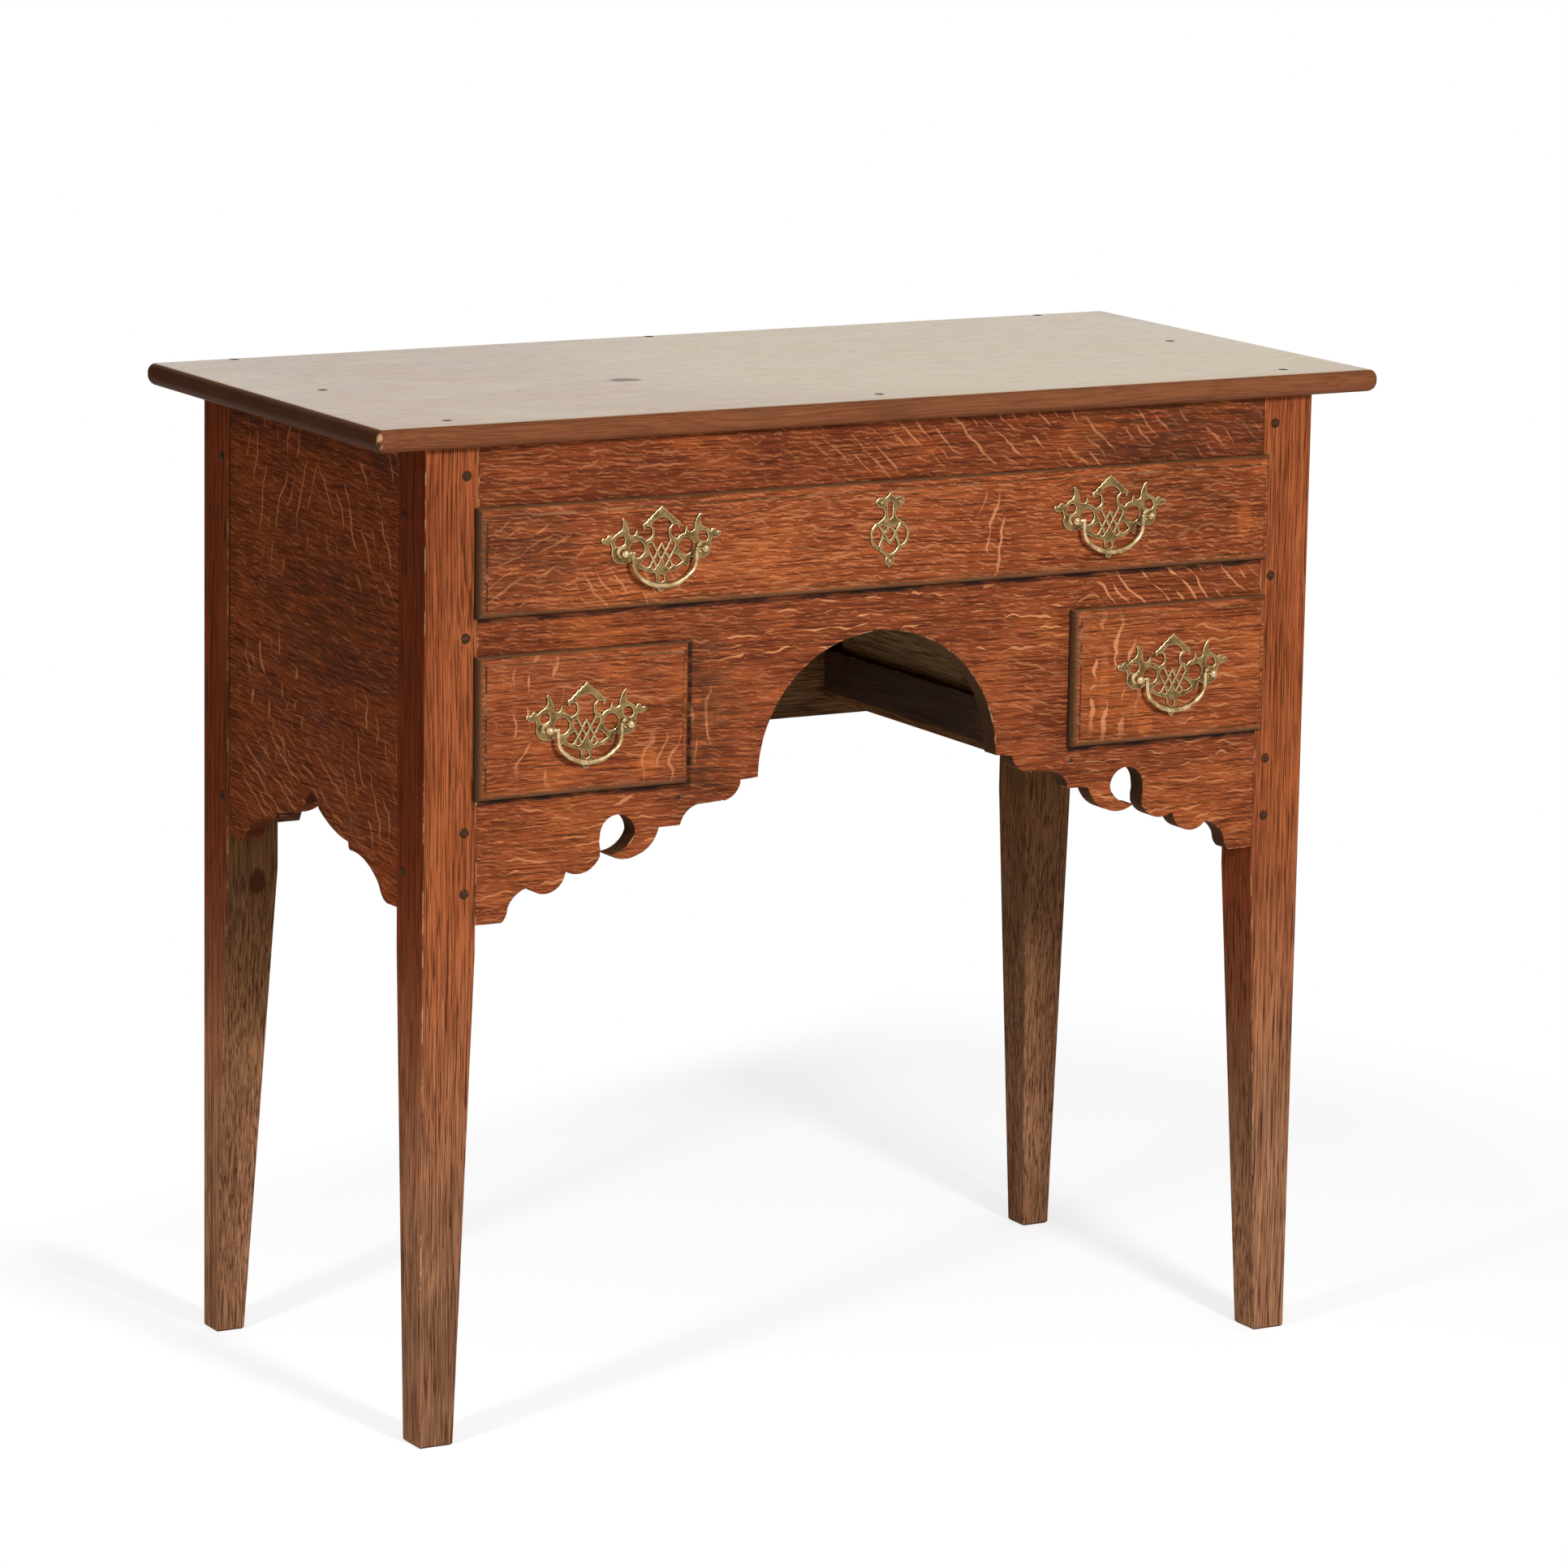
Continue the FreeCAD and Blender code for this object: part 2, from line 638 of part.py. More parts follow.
# The scroll of the apron from the post to the arch, drawn on a template: how far in
# from the post, and how high above the apron's foot. A single point ends a straight
# stretch, and a pair is the middle and the end of an arc.
SCROLL_WIDE = 219.0
SCROLL_HIGH = 85.0
APRON_SCROLL = (
    ((20.0, 0.0),),
    ((22.6, 3.0), (24.5, 9.0)),
    ((28.7, 16.0), (41.0, 22.7)),
    ((54.3, 17.3), (69.0, 31.6)),
    ((81.4, 28.9), (95.7, 39.6)),
    ((95.9, 44.6),),
    ((94.9, 49.0), (95.3, 54.0)),
    ((109.0, 67.9), (122.6, 54.0)),
    ((115.8, 45.0), (102.1, 40.3)),
    ((112.0, 36.3), (123.6, 37.7)),
    ((133.8, 43.2), (140.7, 54.0)),
    ((140.9, 56.0),),
    ((158.0, 56.2),),
    ((162.2, 64.4), (172.0, 69.8)),
    ((190.0, 70.6),),
    ((200.5, 74.8), (205.2, 84.2)),
)


def make_apron():
    """One board under the long drawer: two drawer openings, an arch and hooked scrolls."""
    inner = value("inner_x")
    foot = value("apron_foot")
    spring = value("arch_spring")
    radius = value("arch_radius")
    across = (inner - radius) / SCROLL_WIDE
    up = (spring - foot) / SCROLL_HIGH
    top = value("apron_top")
    near = value("short_inner_x")
    high = value("short_high")
    low = value("short_low")
    half = [((0.0, top),), ((inner, top),), ((inner, high),), ((near, high),), ((near, low),),
            ((inner, low),), ((inner, foot),)]
    for step in APRON_SCROLL:
        half.append(tuple((inner - across * u, foot + up * v) for u, v in step))
    half.append(((radius, spring),))
    slant = radius * math.sqrt(0.5)
    half.append(((slant, spring + slant), (0.0, spring + radius)))
    body = make_body("apron_board")
    outline = plane_sketch(body, "apron_outline", "XZ_Plane")
    draw(outline, mirrored(half))
    pad(body, "apron_pad", outline, "apron_thick")
    move(body, ("0", "apron_back", "0"))
    pieces = [body]
    for side, where in ((-1, "left"), (1, "right")):
        for key, low, high in RAIL_TENONS[1:]:
            pieces.append(rail_tenon("%s_tenon_%s" % (key, where), side, low, high))
    whole = fuse("apron_whole", pieces)
    holes = peg_holes("front_apron", lambda family, place, index: family == "front_pegs" and index > 0)
    holes += nail_rods("front_apron_nail_hole", "nail_radius + peg_gap")
    label(cut("front_apron", whole, holes), "front_apron")


# The lower edge of a side panel from the post to its middle, drawn on a template as
# the apron's scroll is.
SWEEP_WIDE = 136.0
SWEEP_HIGH = 56.0
PANEL_SWEEP = (
    ((15.0, 0.0),),
    ((23.8, 2.4), (29.5, 9.0)),
    ((48.0, 21.4), (76.8, 26.0)),
    ((79.0, 28.5),),
    ((79.0, 31.3),),
    ((104.0, 36.2), (126.0, 46.0)),
    ((129.2, 53.2), (136.0, 56.0)),
)


def make_side_panel(name, side):
    """A board tenoned between the posts, its lower edge swept up to a small notch."""
    half_long = (value("post_back_in") - value("post_front_in")) / 2
    foot = value("panel_foot")
    across = half_long / SWEEP_WIDE
    up = value("panel_rise") / SWEEP_HIGH
    half = [((0.0, value("under_top")),), ((half_long, value("under_top")),), ((half_long, foot),)]
    for step in PANEL_SWEEP:
        half.append(tuple((half_long - across * u, foot + up * v) for u, v in step))
    body = make_body(name + "_board")
    outline = plane_sketch(body, name + "_outline", "YZ_Plane")
    draw(outline, mirrored(half))
    pad(body, name + "_pad", outline, "panel_thick")
    inner = "panel_in" if side > 0 else "-panel_out"
    move(body, (inner, "(post_front_in + post_back_in) / 2", "0"))
    pieces = [body]
    for end, row in ((-1, "front"), (1, "back")):
        for key, low, high in PANEL_TENONS:
            pieces.append(panel_tenon("%s_%s_%s" % (name, row, key), side, end, low, high))
    whole = fuse(name + "_whole", pieces)
    where = "left" if side < 0 else "right"
    column = 0 if side < 0 else 1

    def mine(family, place, index):
        if family == "top_pegs":
            return place == "side" and index == column
        return family == where + "_side_pegs"

    label(cut(name, whole, peg_holes(name, mine)), name)


def make_back_board():
    """The plain board at the back, with a bracket against each back leg."""
    inner = value("inner_x")
    bracket = inner - value("back_bracket")
    top = value("under_top")
    low = value("back_low")
    foot = value("back_foot_z")
    half = [((0.0, top),), ((inner, top),), ((inner, foot),), ((bracket, foot),), ((bracket, low),),
            ((0.0, low),)]
    body = make_body("back_plank")
    outline = plane_sketch(body, "back_outline", "XZ_Plane")
    draw(outline, mirrored(half))
    pad(body, "back_pad", outline, "back_thick")
    move(body, ("0", "back_face", "0"))
    pieces = [body]
    for side, where in ((-1, "left"), (1, "right")):
        for key, lower, upper in PANEL_TENONS:
            pieces.append(back_tenon("back_%s_%s" % (where, key), side, lower, upper))
    whole = fuse("back_whole", pieces)

    def mine(family, place, index):
        if family == "top_pegs":
            return place == "back" and index == 1
        return family == "back_pegs"

    label(cut("back_board", whole, peg_holes("back_board", mine)), "back_board")


def make_top():
    """The top board, rounded on all four edges and pegged down to the case."""
    body = make_body("top_plank")
    outline = plane_sketch(body, "top_outline", "XY_Plane")
    rectangle(outline, "case_width + 2 * top_over_side", "case_depth + top_over_front + top_over_back")
    pad(body, "top_pad", outline, "top_thick")
    thick = value("top_thick")
    dress(body, "top_corners", "Fillet", "Radius", "top_corner_round",
          lambda edge: edge.BoundBox.ZLength > thick / 2)
    dress(body, "top_upper", "Fillet", "Radius", "top_upper_round", lambda edge: lies_at(edge, "Z", thick))
    dress(body, "top_lower", "Fillet", "Radius", "top_lower_round", lambda edge: lies_at(edge, "Z", 0.0))
    move(body, ("-half_width - top_over_side", "case_front - top_over_front", "under_top"))
    holes = peg_holes("top_board", lambda family, place, index: family == "top_pegs")
    label(cut("top_board", body, holes), "top_board")


def make_runners():
    """Runners with guides along the sides, inner runners beside the knee space, and kickers."""
    full = ("apron_back", "board_front")
    between = ("post_front_in", "post_back_in")
    rails = (
        ("long", "short_high", "apron_top"),
        ("short_outer", "short_low - runner_thick", "short_low"),
    )
    for side, where in ((-1, "left"), (1, "right")):
        strip = sided(side, "inner_x - runner_reach", "inner_x")
        outer = sided(side, "inner_x", "panel_in")
        for key, low, high in rails:
            name = "%s_%s_runner" % (where, key)
            bearer = span_box(name + "_strip", strip, full, (low, high))
            guide = span_box(name + "_guide", outer, between, (low, high + " + guide_high"))
            label(fuse(name, [bearer, guide]), name)
        name = where + "_short_inner_runner"
        near = "short_inner_x - inner_guide_thick"
        base = span_box(name + "_base", sided(side, near, near + " + inner_runner_wide"), full,
                        ("short_low - runner_inner_thick", "short_low"))
        fence = span_box(name + "_fence", sided(side, near, "short_inner_x"), full,
                         ("short_low", "short_low + inner_guide_high"))
        whole = fuse(name + "_whole", [base, fence])
        hole = nail_rods(name + "_nail_hole", "nail_radius + peg_gap", (side,))
        label(cut(name, whole, hole), name)
        name = where + "_kicker"
        kicker_z = ("frieze_low", "frieze_low + kicker_high")
        label(span_box(name, strip, ("frieze_back", "board_front"), kicker_z), name)


def nail_rods(name, radius, sides=(-1, 1)):
    """Rods from inside the inner runners out to the face of the apron."""
    rods = []
    for side in sides:
        start = ("%d * (short_inner_x + nail_radius)" % side, "front_face + nail_long",
                 "short_low - runner_inner_thick + nail_rise")
        rods.append(rod("%s_%d" % (name, side + 1), "front", start, radius, "nail_long"))
    return rods


def make_nails():
    label(group("runner_nails", nail_rods("runner_nail", "nail_radius")), "runner_nails")


# ---------------------------------------------------------------- drawers

# A dovetail's narrow end, and the most that it may flare to a side, as shares of its pitch.
TAIL_SHARE = 0.5
FLARE_SHARE = 0.2


def tail_steps(low, high, count, shoulder, end):
    """Corners of a row of dovetails, from the lowest to the highest.

    They stand on the line at shoulder and spread to the line at end.
    """
    pitch = (high - low) / count
    narrow = pitch * TAIL_SHARE
    flare = min(value("tail_flare"), pitch * FLARE_SHARE)
    corners = []
    for index in range(count):
        middle = low + pitch * (index + 0.5)
        corners.append((shoulder, middle - narrow / 2))
        corners.append((end, middle - narrow / 2 - flare))
        corners.append((end, middle + narrow / 2 + flare))
        corners.append((shoulder, middle + narrow / 2))
    return corners


def make_drawer(name, left, right, low, high, opening, tails):
    """A lipped drawer: dovetailed front, sides and back, and a bottom set up in rebates.

    left, right, low and high are formulas for its box, and opening is what its lip laps.
    """
    front_body = make_body(name + "_face")
    x0, x1, z0, z1 = opening
    wide = "(%s) - (%s) + 2 * lip_over" % (x1, x0)
    tall = "(%s) - (%s) + 2 * lip_over" % (z1, z0)
    lip = plane_sketch(front_body, name + "_lip", "XZ_Plane")
    rectangle(lip, wide, tall)
    pad(front_body, name + "_lip_pad", lip, "lip_thick")
    thick = value("lip_thick")
    dress(front_body, name + "_ovolo", "Fillet", "Radius", "lip_round",
          lambda edge: lies_at(edge, "Y", -thick))
    field = plane_sketch(front_body, name + "_field", "XZ_Plane")
    rectangle(field, wide + " - 2 * field_inset", tall + " - 2 * field_inset", "field_inset")
    pad(front_body, name + "_field_pad", field, "lip_thick + field_step")
    move(front_body, ("(%s) - lip_over" % x0, "lip_plane", "(%s) - lip_over" % z0))
    block = span_box(name + "_block", (left, right), ("lip_plane", "block_back"), (low, high))
    face = fuse(name + "_front_whole", [front_body, block])

    bottom_z = (low, "(%s) + drawer_bottom_thick" % low)
    lodge = span_box(name + "_lodge", ("(%s) + bottom_rebate" % left, "(%s) - bottom_rebate" % right),
                     ("block_back - bottom_rebate", "drawer_end"), bottom_z)
    label(lodge, name + "_bottom")

    sheet_low = value(low)
    sheet_high = value(high)
    shoulder = value("block_back")
    tip = shoulder - value("tail_long")
    rear = value("drawer_end")
    rear_shoulder = rear - value("drawer_side_thick")
    base = sheet_low + value("drawer_bottom_thick")
    corners = [(rear_shoulder, sheet_low), (shoulder, sheet_low)]
    corners += tail_steps(base, sheet_high, tails, shoulder, tip)
    corners += [(shoulder, sheet_high), (rear_shoulder, sheet_high)]
    corners += reversed(tail_steps(base, sheet_high, tails, rear_shoulder, rear))
    corners += [(rear_shoulder, base), (rear_shoulder, sheet_low)]
    points = [(corner,) for corner in tidy(corners)]
    sides = []
    for where, edge in (("left", left), ("right", "(%s) - drawer_side_thick" % right)):
        side_body = make_body("%s_%s_plank" % (name, where))
        outline = plane_sketch(side_body, "%s_%s_outline" % (name, where), "YZ_Plane")
        draw(outline, points)
        pad(side_body, "%s_%s_pad" % (name, where), outline, "drawer_side_thick")
        move(side_body, (edge, "0", "0"))
        side = cut("%s_%s_side" % (name, where), side_body, [lodge])
        sides.append(label(side, "%s_%s_side" % (name, where)))
    back = span_box(name + "_back_board", (left, right), ("drawer_end - drawer_side_thick", "drawer_end"),
                    (bottom_z[1], high))
    label(cut(name + "_back", back, sides), name + "_back")
    return face, sides, lodge


def tidy(corners):
    """Drop a corner that repeats the one before it."""
    kept = [corners[0]]
    for corner in corners[1:]:
        if math.dist(corner, kept[-1]) > 1e-6:
            kept.append(corner)
    return kept


# ---------------------------------------------------------------- brass

# The right half of a handle plate, measured from the middle between its posts: from
# the tip of the crown, down the serrated slope, round the curled eave, the horn, the
# leaf and the lobe about the post, to the finial under the bail.
PLATE_HALF = (
    ((0.0, 30.6),),
    ((2.4, 27.8),),
    ((3.5, 27.6),),
    ((5.6, 25.2),),
    ((6.8, 24.9),),
    ((8.9, 22.2),),
    ((10.1, 21.9),),
    ((12.2, 19.4),),
    ((14.6, 17.8), (14.0, 14.8)),
    ((12.6, 14.2),),
    ((12.6, 16.4), (10.6, 16.6)),
    ((8.2, 15.6), (7.4, 12.8)),
    ((8.0, 9.4), (10.2, 8.0)),
    ((12.0, 6.9),),
    ((14.6, 9.4), (18.0, 10.4)),
    ((19.2, 15.8),),
    ((20.4, 11.8),),
    ((22.8, 11.2), (25.2, 12.6)),
    ((26.4, 18.8), (29.6, 23.6)),
    ((31.2, 23.0),),
    ((29.9, 18.6), (31.6, 14.8)),
    ((35.2, 12.8),),
    ((38.2, 10.4),),
    ((40.4, 12.4), (42.2, 11.0)),
    ((43.2, 9.8),),
    ((45.6, 10.2), (46.4, 8.2)),
    ((43.6, 6.2), (39.2, 6.4)),
    ((38.0, 2.4),),
    ((36.8, -5.2), (30.6, -7.8)),
    ((26.2, -7.6), (22.8, -5.8)),
    ((21.2, -9.6),),
    ((20.2, -13.4),),
    ((18.2, -10.8),),
    ((11.8, -14.4), (4.8, -15.8)),
    ((4.2, -17.2),),
    ((4.2, -22.0),),
    ((2.1, -23.8),),
    ((2.6, -27.2), (0.0, -29.4)),
)

# Piercings of the right half: the round inside the post as its place and radius, then the
# eye over the post, the leaf beside the lattice, the kite under the round and the small
# one beside the foot as closed outlines.
PLATE_ROUND = (18.9, 1.4, 5.8)
PLATE_SIDES = (
    (((28.2, 8.8),), ((31.8, 11.4), (35.4, 8.8)), ((36.0, 6.2), (34.8, 4.2)),
     ((31.2, 4.2), (28.6, 5.6)), ((28.2, 8.8),)),
    (((3.9, -1.4),), ((7.6, 5.0),), ((9.9, 5.0),), ((10.7, 2.5),), ((6.2, -5.4),), ((3.9, -1.4),)),
    (((7.0, -6.8),), ((9.2, -3.0),), ((12.0, -4.2),), ((16.4, -8.9),), ((12.0, -11.6),),
     ((9.6, -11.2),), ((7.0, -6.8),)),
    (((6.2, -8.2),), ((8.2, -11.7),), ((6.0, -13.2),), ((4.1, -12.0),), ((6.2, -8.2),)),
)

# Piercings that lie across the middle, drawn as right halves: the window of the crown,
# which the lattice closes below, and the slot of the foot.
WINDOW_HALF = (
    ((0.0, 22.4),),
    ((5.2, 20.6), (8.2, 16.8)),
    ((6.0, 14.6), (5.3, 11.8)),
    ((5.7, 9.0), (6.8, 6.5)),
    ((3.1, 0.0),),
    ((0.0, 5.4),),
)
FOOT_SLOT_HALF = (((0.0, -16.6),), ((1.9, -17.8),), ((2.3, -21.4),), ((0.0, -22.4),))

# The diamonds between the crossing straps: half of one each way with its straps, and
# their middles.
LATTICE_STEP_X = 3.1
LATTICE_STEP_Z = 5.4
LATTICE_SPOTS = ((0.0, -1.4), (-LATTICE_STEP_X, -6.8), (LATTICE_STEP_X, -6.8))


def diamond(sketch, x, z):
    """A four-sided piercing, less the width of the straps round it."""
    trim = value("strap_wide") / 2
    long_side = math.hypot(LATTICE_STEP_X, LATTICE_STEP_Z)
    half_x = LATTICE_STEP_X - trim * long_side / LATTICE_STEP_Z
    half_z = LATTICE_STEP_Z - trim * long_side / LATTICE_STEP_X
    corners = [(x + half_x, z), (x, z + half_z), (x - half_x, z), (x, z - half_z), (x + half_x, z)]
    draw(sketch, [(corner,) for corner in corners])


def make_plate(name, x, z):
    """A pierced brass plate, flat on the face of its drawer."""
    body = make_body(name)
    outline = plane_sketch(body, name + "_outline", "XZ_Plane")
    draw(outline, mirrored(PLATE_HALF))
    pad(body, name + "_pad", outline, "plate_thick")
    holes = plane_sketch(body, name + "_piercings", "XZ_Plane")
    across, up, radius = PLATE_ROUND
    for sign in (-1, 1):
        circle(holes, (sign * across, up), radius)
        circle(holes, (sign * value("pull_bore"), 0.0), value("neck_radius") + value("peg_gap"))
        for outline in PLATE_SIDES:
            draw(holes, turned_over(outline, sign))
    draw(holes, mirrored(WINDOW_HALF))
    draw(holes, mirrored(FOOT_SLOT_HALF))
    for spot in LATTICE_SPOTS:
        diamond(holes, *spot)
    pocket_through(body, name + "_pierce", holes)
    move(body, (x, "field_plane", z))
    return label(body, name)


def make_posts(name, x, z):
    """Two turned posts with ball heads; each head is bored on its inner side for a pin."""
    pieces = []
    for sign, where in ((-1, "left"), (1, "right")):
        body = make_body("%s_%s_turning" % (name, where))
        profile = plane_sketch(body, "%s_%s_profile" % (name, where), "XY_Plane")
        draw(profile, post_profile())
        turning = body.newObject("PartDesign::Revolution", "%s_%s_turned" % (name, where))
        turning.Profile = profile
        turning.ReferenceAxis = (profile, ["V_Axis"])
        turning.Angle = 360.0
        body.Tip = turning
        place = "(%s) + (%d) * pull_bore" % (x, sign)
        move(body, (place, "field_plane", z))
        start = (place + " + (%d) * pin_short" % sign, "ball_y", z)
        facing = "right" if sign < 0 else "left"
        bore = rod("%s_%s_bore" % (name, where), facing, start, "pin_radius + pin_gap", "2 * ball_radius")
        pieces.append(cut("%s_%s" % (name, where), body, [bore]))
    return label(group(name, pieces), name)


def post_profile():
    """Half the section of a handle post: across is its radius, and minus is outwards."""
    ball = value("ball_radius")
    neck = value("neck_radius")
    collar = value("collar_radius")
    face = -value("plate_thick")
    middle = face - value("ball_stand")
    end = value("lip_thick") + value("field_step") + value("front_block") + value("shank_out")
    join = math.sqrt(ball ** 2 - neck ** 2)
    collar_out = face - value("collar_high")
    return [
        ((0.0, middle - ball),),
        ((ball, middle), (neck, middle + join)),
        ((neck, collar_out),),
        ((collar, face),),
        ((neck, face),),
        ((neck, end),),
        ((0.0, end),),
        ((0.0, middle - ball),),
    ]


def make_nuts(name, x, z):
    """Square nuts on the ends of the posts, inside the drawer."""
    pieces = []
    for sign, where in ((-1, "left"), (1, "right")):
        place = "(%s) + (%d) * pull_bore" % (x, sign)
        across = (place + " - nut_size / 2", place + " + nut_size / 2")
        upright = ("(%s) - nut_size / 2" % z, "(%s) + nut_size / 2" % z)
        block = span_box("%s_%s_block" % (name, where), across,
                         ("block_back", "block_back + nut_thick"), upright)
        hole = rod("%s_%s_hole" % (name, where), "back", (place, "block_back", z),
                   "neck_radius + peg_gap", "nut_thick")
        pieces.append(cut("%s_%s" % (name, where), block, [hole]))
    return label(group(name, pieces), name)


def make_bail(name, x, z):
    """A drop handle: two limbs and a flat round bow that swells at its middle, on two pins."""
    half_wide = value("bail_half_wide")
    right = [ring(FreeCAD.Vector(half_wide, 0, 0), math.pi / 2)]
    right += [bail_ring(BAIL_STEP * step) for step in range(BAIL_RINGS, -1, -1)]
    left = [bail_ring(-BAIL_STEP * step) for step in range(1, BAIL_RINGS + 1)]
    left.append(ring(FreeCAD.Vector(-half_wide, 0, 0), -math.pi / 2))
    hoop = Part.makeLoft(right + left, True, True)
    reach = value("pull_bore") - value("pin_short") - half_wide
    for sign in (-1, 1):
        eye = FreeCAD.Vector(sign * half_wide, 0, 0)
        hoop = hoop.fuse(Part.makeSphere(value("bail_eye"), eye))
        hoop = hoop.fuse(Part.makeCylinder(value("pin_radius"), reach, eye, FreeCAD.Vector(sign, 0, 0)))
    item = DOC.addObject("Part::Feature", name)
    item.Shape = hoop
    item.Placement = FreeCAD.Placement(FreeCAD.Vector(0, 0, 0), FreeCAD.Rotation())
    move(item, (x, "ball_y", z))
    return label(item, name)


# The bow of a bail is drawn by rings, spaced by how far it has turned from its lowest point.
BAIL_RINGS = 8
BAIL_STEP = math.pi / 2 / BAIL_RINGS


def bail_ring(turn):
    """A ring of the bow, at which it has turned so far from its lowest point.

    Two shoulders of a small radius run smoothly into a flatter middle.
    """
    half_wide = value("bail_half_wide")
    drop = value("bail_drop")
    shoulder = value("bail_shoulder")
    inset = half_wide - shoulder
    middle = (inset ** 2 + drop ** 2 - shoulder ** 2) / (2 * (drop - shoulder))
    meeting = math.atan2(inset, middle - drop)
    depth = middle - drop
    across = middle * math.sin(turn)
    if abs(turn) > meeting:
        depth = 0.0
        across = math.copysign(inset, turn) + shoulder * math.sin(turn)
        middle = shoulder
    fall = middle * math.cos(turn) - depth
    centre = FreeCAD.Vector(across, 0, -value("bail_limb") - fall)
    return ring(centre, turn, (fall / drop) ** 2)


def ring(centre, turn, swell=0.0):
    """A round section of a bail, from thin at swell 0 to thick at 1."""
    thin = value("bail_thin")
    radius = thin + (value("bail_thick") - thin) * swell
    along = FreeCAD.Vector(-math.cos(turn), 0, -math.sin(turn))
    return Part.Wire([Part.makeCircle(radius, centre, along)])


# The right half of the escutcheon from its crown, round an ear, the neck and the heart
# of its body to its foot, measured from its middle.
ESCUTCHEON_HALF = (
    ((0.0, 26.2),),
    ((1.8, 23.6),),
    ((4.4, 21.8),),
    ((8.8, 22.2), (11.8, 19.2)),
    ((9.4, 16.6), (6.2, 14.8)),
    ((4.2, 11.0), (5.8, 7.4)),
    ((8.8, 5.2),),
    ((14.2, 1.2), (15.4, -4.6)),
    ((14.2, -9.8), (10.4, -13.2)),
    ((5.8, -16.6),),
    ((2.4, -19.6),),
    ((3.6, -22.4), (2.0, -24.8)),
    ((0.0, -27.2),),
)

# The escutcheon's piercings: the slot of its neck, the diamond and the heart below it as
# right halves, then the side and the small corner of the right half as closed outlines.
ESCUTCHEON_MIDDLES = (
    (((0.0, 20.2),), ((1.8, 19.2), (2.0, 16.8)), ((1.8, 8.6),), ((0.0, 7.2),)),
    (((0.0, 1.2),), ((3.7, -3.4),), ((0.0, -8.0),)),
    (((0.0, -10.6),), ((5.0, -6.2),), ((6.9, -12.0),), ((4.8, -15.0), (0.0, -17.6))),
)
ESCUTCHEON_SIDES = (
    (((9.2, 2.6),), ((13.0, -0.6), (13.4, -4.8)), ((12.4, -8.8), (8.8, -11.4)), ((5.6, -3.2),),
     ((9.2, 2.6),)),
    (((1.8, 1.6),), ((7.4, 3.4),), ((4.4, -1.4),), ((1.8, 1.6),)),
)
ESCUTCHEON_PINS = ((-7.2, 19.0), (7.2, 19.0), (0.0, -22.2))


def make_escutcheon():
    """The pierced plate at the middle of the long drawer; it has no keyhole."""
    body = make_body("escutcheon")
    outline = plane_sketch(body, "escutcheon_outline", "XZ_Plane")
    draw(outline, mirrored(ESCUTCHEON_HALF))
    pad(body, "escutcheon_pad", outline, "plate_thick")
    holes = plane_sketch(body, "escutcheon_piercings", "XZ_Plane")
    for outline in ESCUTCHEON_MIDDLES:
        draw(holes, mirrored(outline))
    for outline in ESCUTCHEON_SIDES:
        for sign in (-1, 1):
            draw(holes, turned_over(outline, sign))
    for spot in ESCUTCHEON_PINS:
        circle(holes, spot, value("escutcheon_pin") + value("peg_gap"))
    pocket_through(body, "escutcheon_pierce", holes)
    move(body, ("0", "field_plane", "escutcheon_z"))
    label(body, "escutcheon")


def escutcheon_rods(name, radius):
    """Rods from inside the drawer front out to the heads of the escutcheon's pins."""
    rods = []
    for index, (x, z) in enumerate(ESCUTCHEON_PINS):
        start = ("%g" % x, "field_plane + escutcheon_pin_deep", "escutcheon_z + (%g)" % z)
        length = "escutcheon_pin_deep + plate_thick + escutcheon_pin_proud"
        rods.append(rod("%s_%d" % (name, index), "front", start, radius, length))
    return rods


def make_escutcheon_pins():
    label(group("escutcheon_pins", escutcheon_rods("escutcheon_pin", "escutcheon_pin")), "escutcheon_pins")


def make_pull(name, x, z):
    """One handle; it returns the holes that its posts need in the drawer front."""
    make_plate(name + "_backplate", x, z)
    make_posts(name + "_posts", x, z)
    make_nuts(name + "_nuts", x, z)
    make_bail(name + "_bail", x, z)
    holes = []
    for sign in (-1, 1):
        place = "(%s) + (%d) * pull_bore" % (x, sign)
        holes.append(rod("%s_bore_%d" % (name, sign + 1), "front", (place, "block_back", z),
                         "neck_radius + peg_gap", "block_back - field_plane"))
    return holes


# ---------------------------------------------------------------- assembly

def make_long_drawer():
    opening = ("-inner_x", "inner_x", "apron_top", "frieze_low")
    face, sides, lodge = make_drawer("long_drawer", "-long_box_half", "long_box_half",
                                     "long_box_low", "long_box_high", opening, 2)
    holes = make_pull("long_left", "-long_pull_x", "long_pull_z")
    holes += make_pull("long_right", "long_pull_x", "long_pull_z")
    make_escutcheon()
    make_escutcheon_pins()
    holes += escutcheon_rods("escutcheon_pin_hole", "escutcheon_pin + peg_gap")
    label(cut("long_drawer_front", face, sides + [lodge] + holes), "long_drawer_front")


def make_short_drawer(where, side):
    name = where + "_drawer"
    left, right = sided(side, "short_box_in", "short_box_out")
    x0, x1 = sided(side, "short_inner_x", "inner_x")
    face, sides, lodge = make_drawer(name, left, right, "short_box_low", "short_box_high",
                                     (x0, x1, "short_low", "short_high"), 3)
    middle = "short_middle" if side > 0 else "-short_middle"
    holes = make_pull(where + "_short", middle, "short_pull_z")
    label(cut(name + "_front", face, sides + [lodge] + holes), name + "_front")


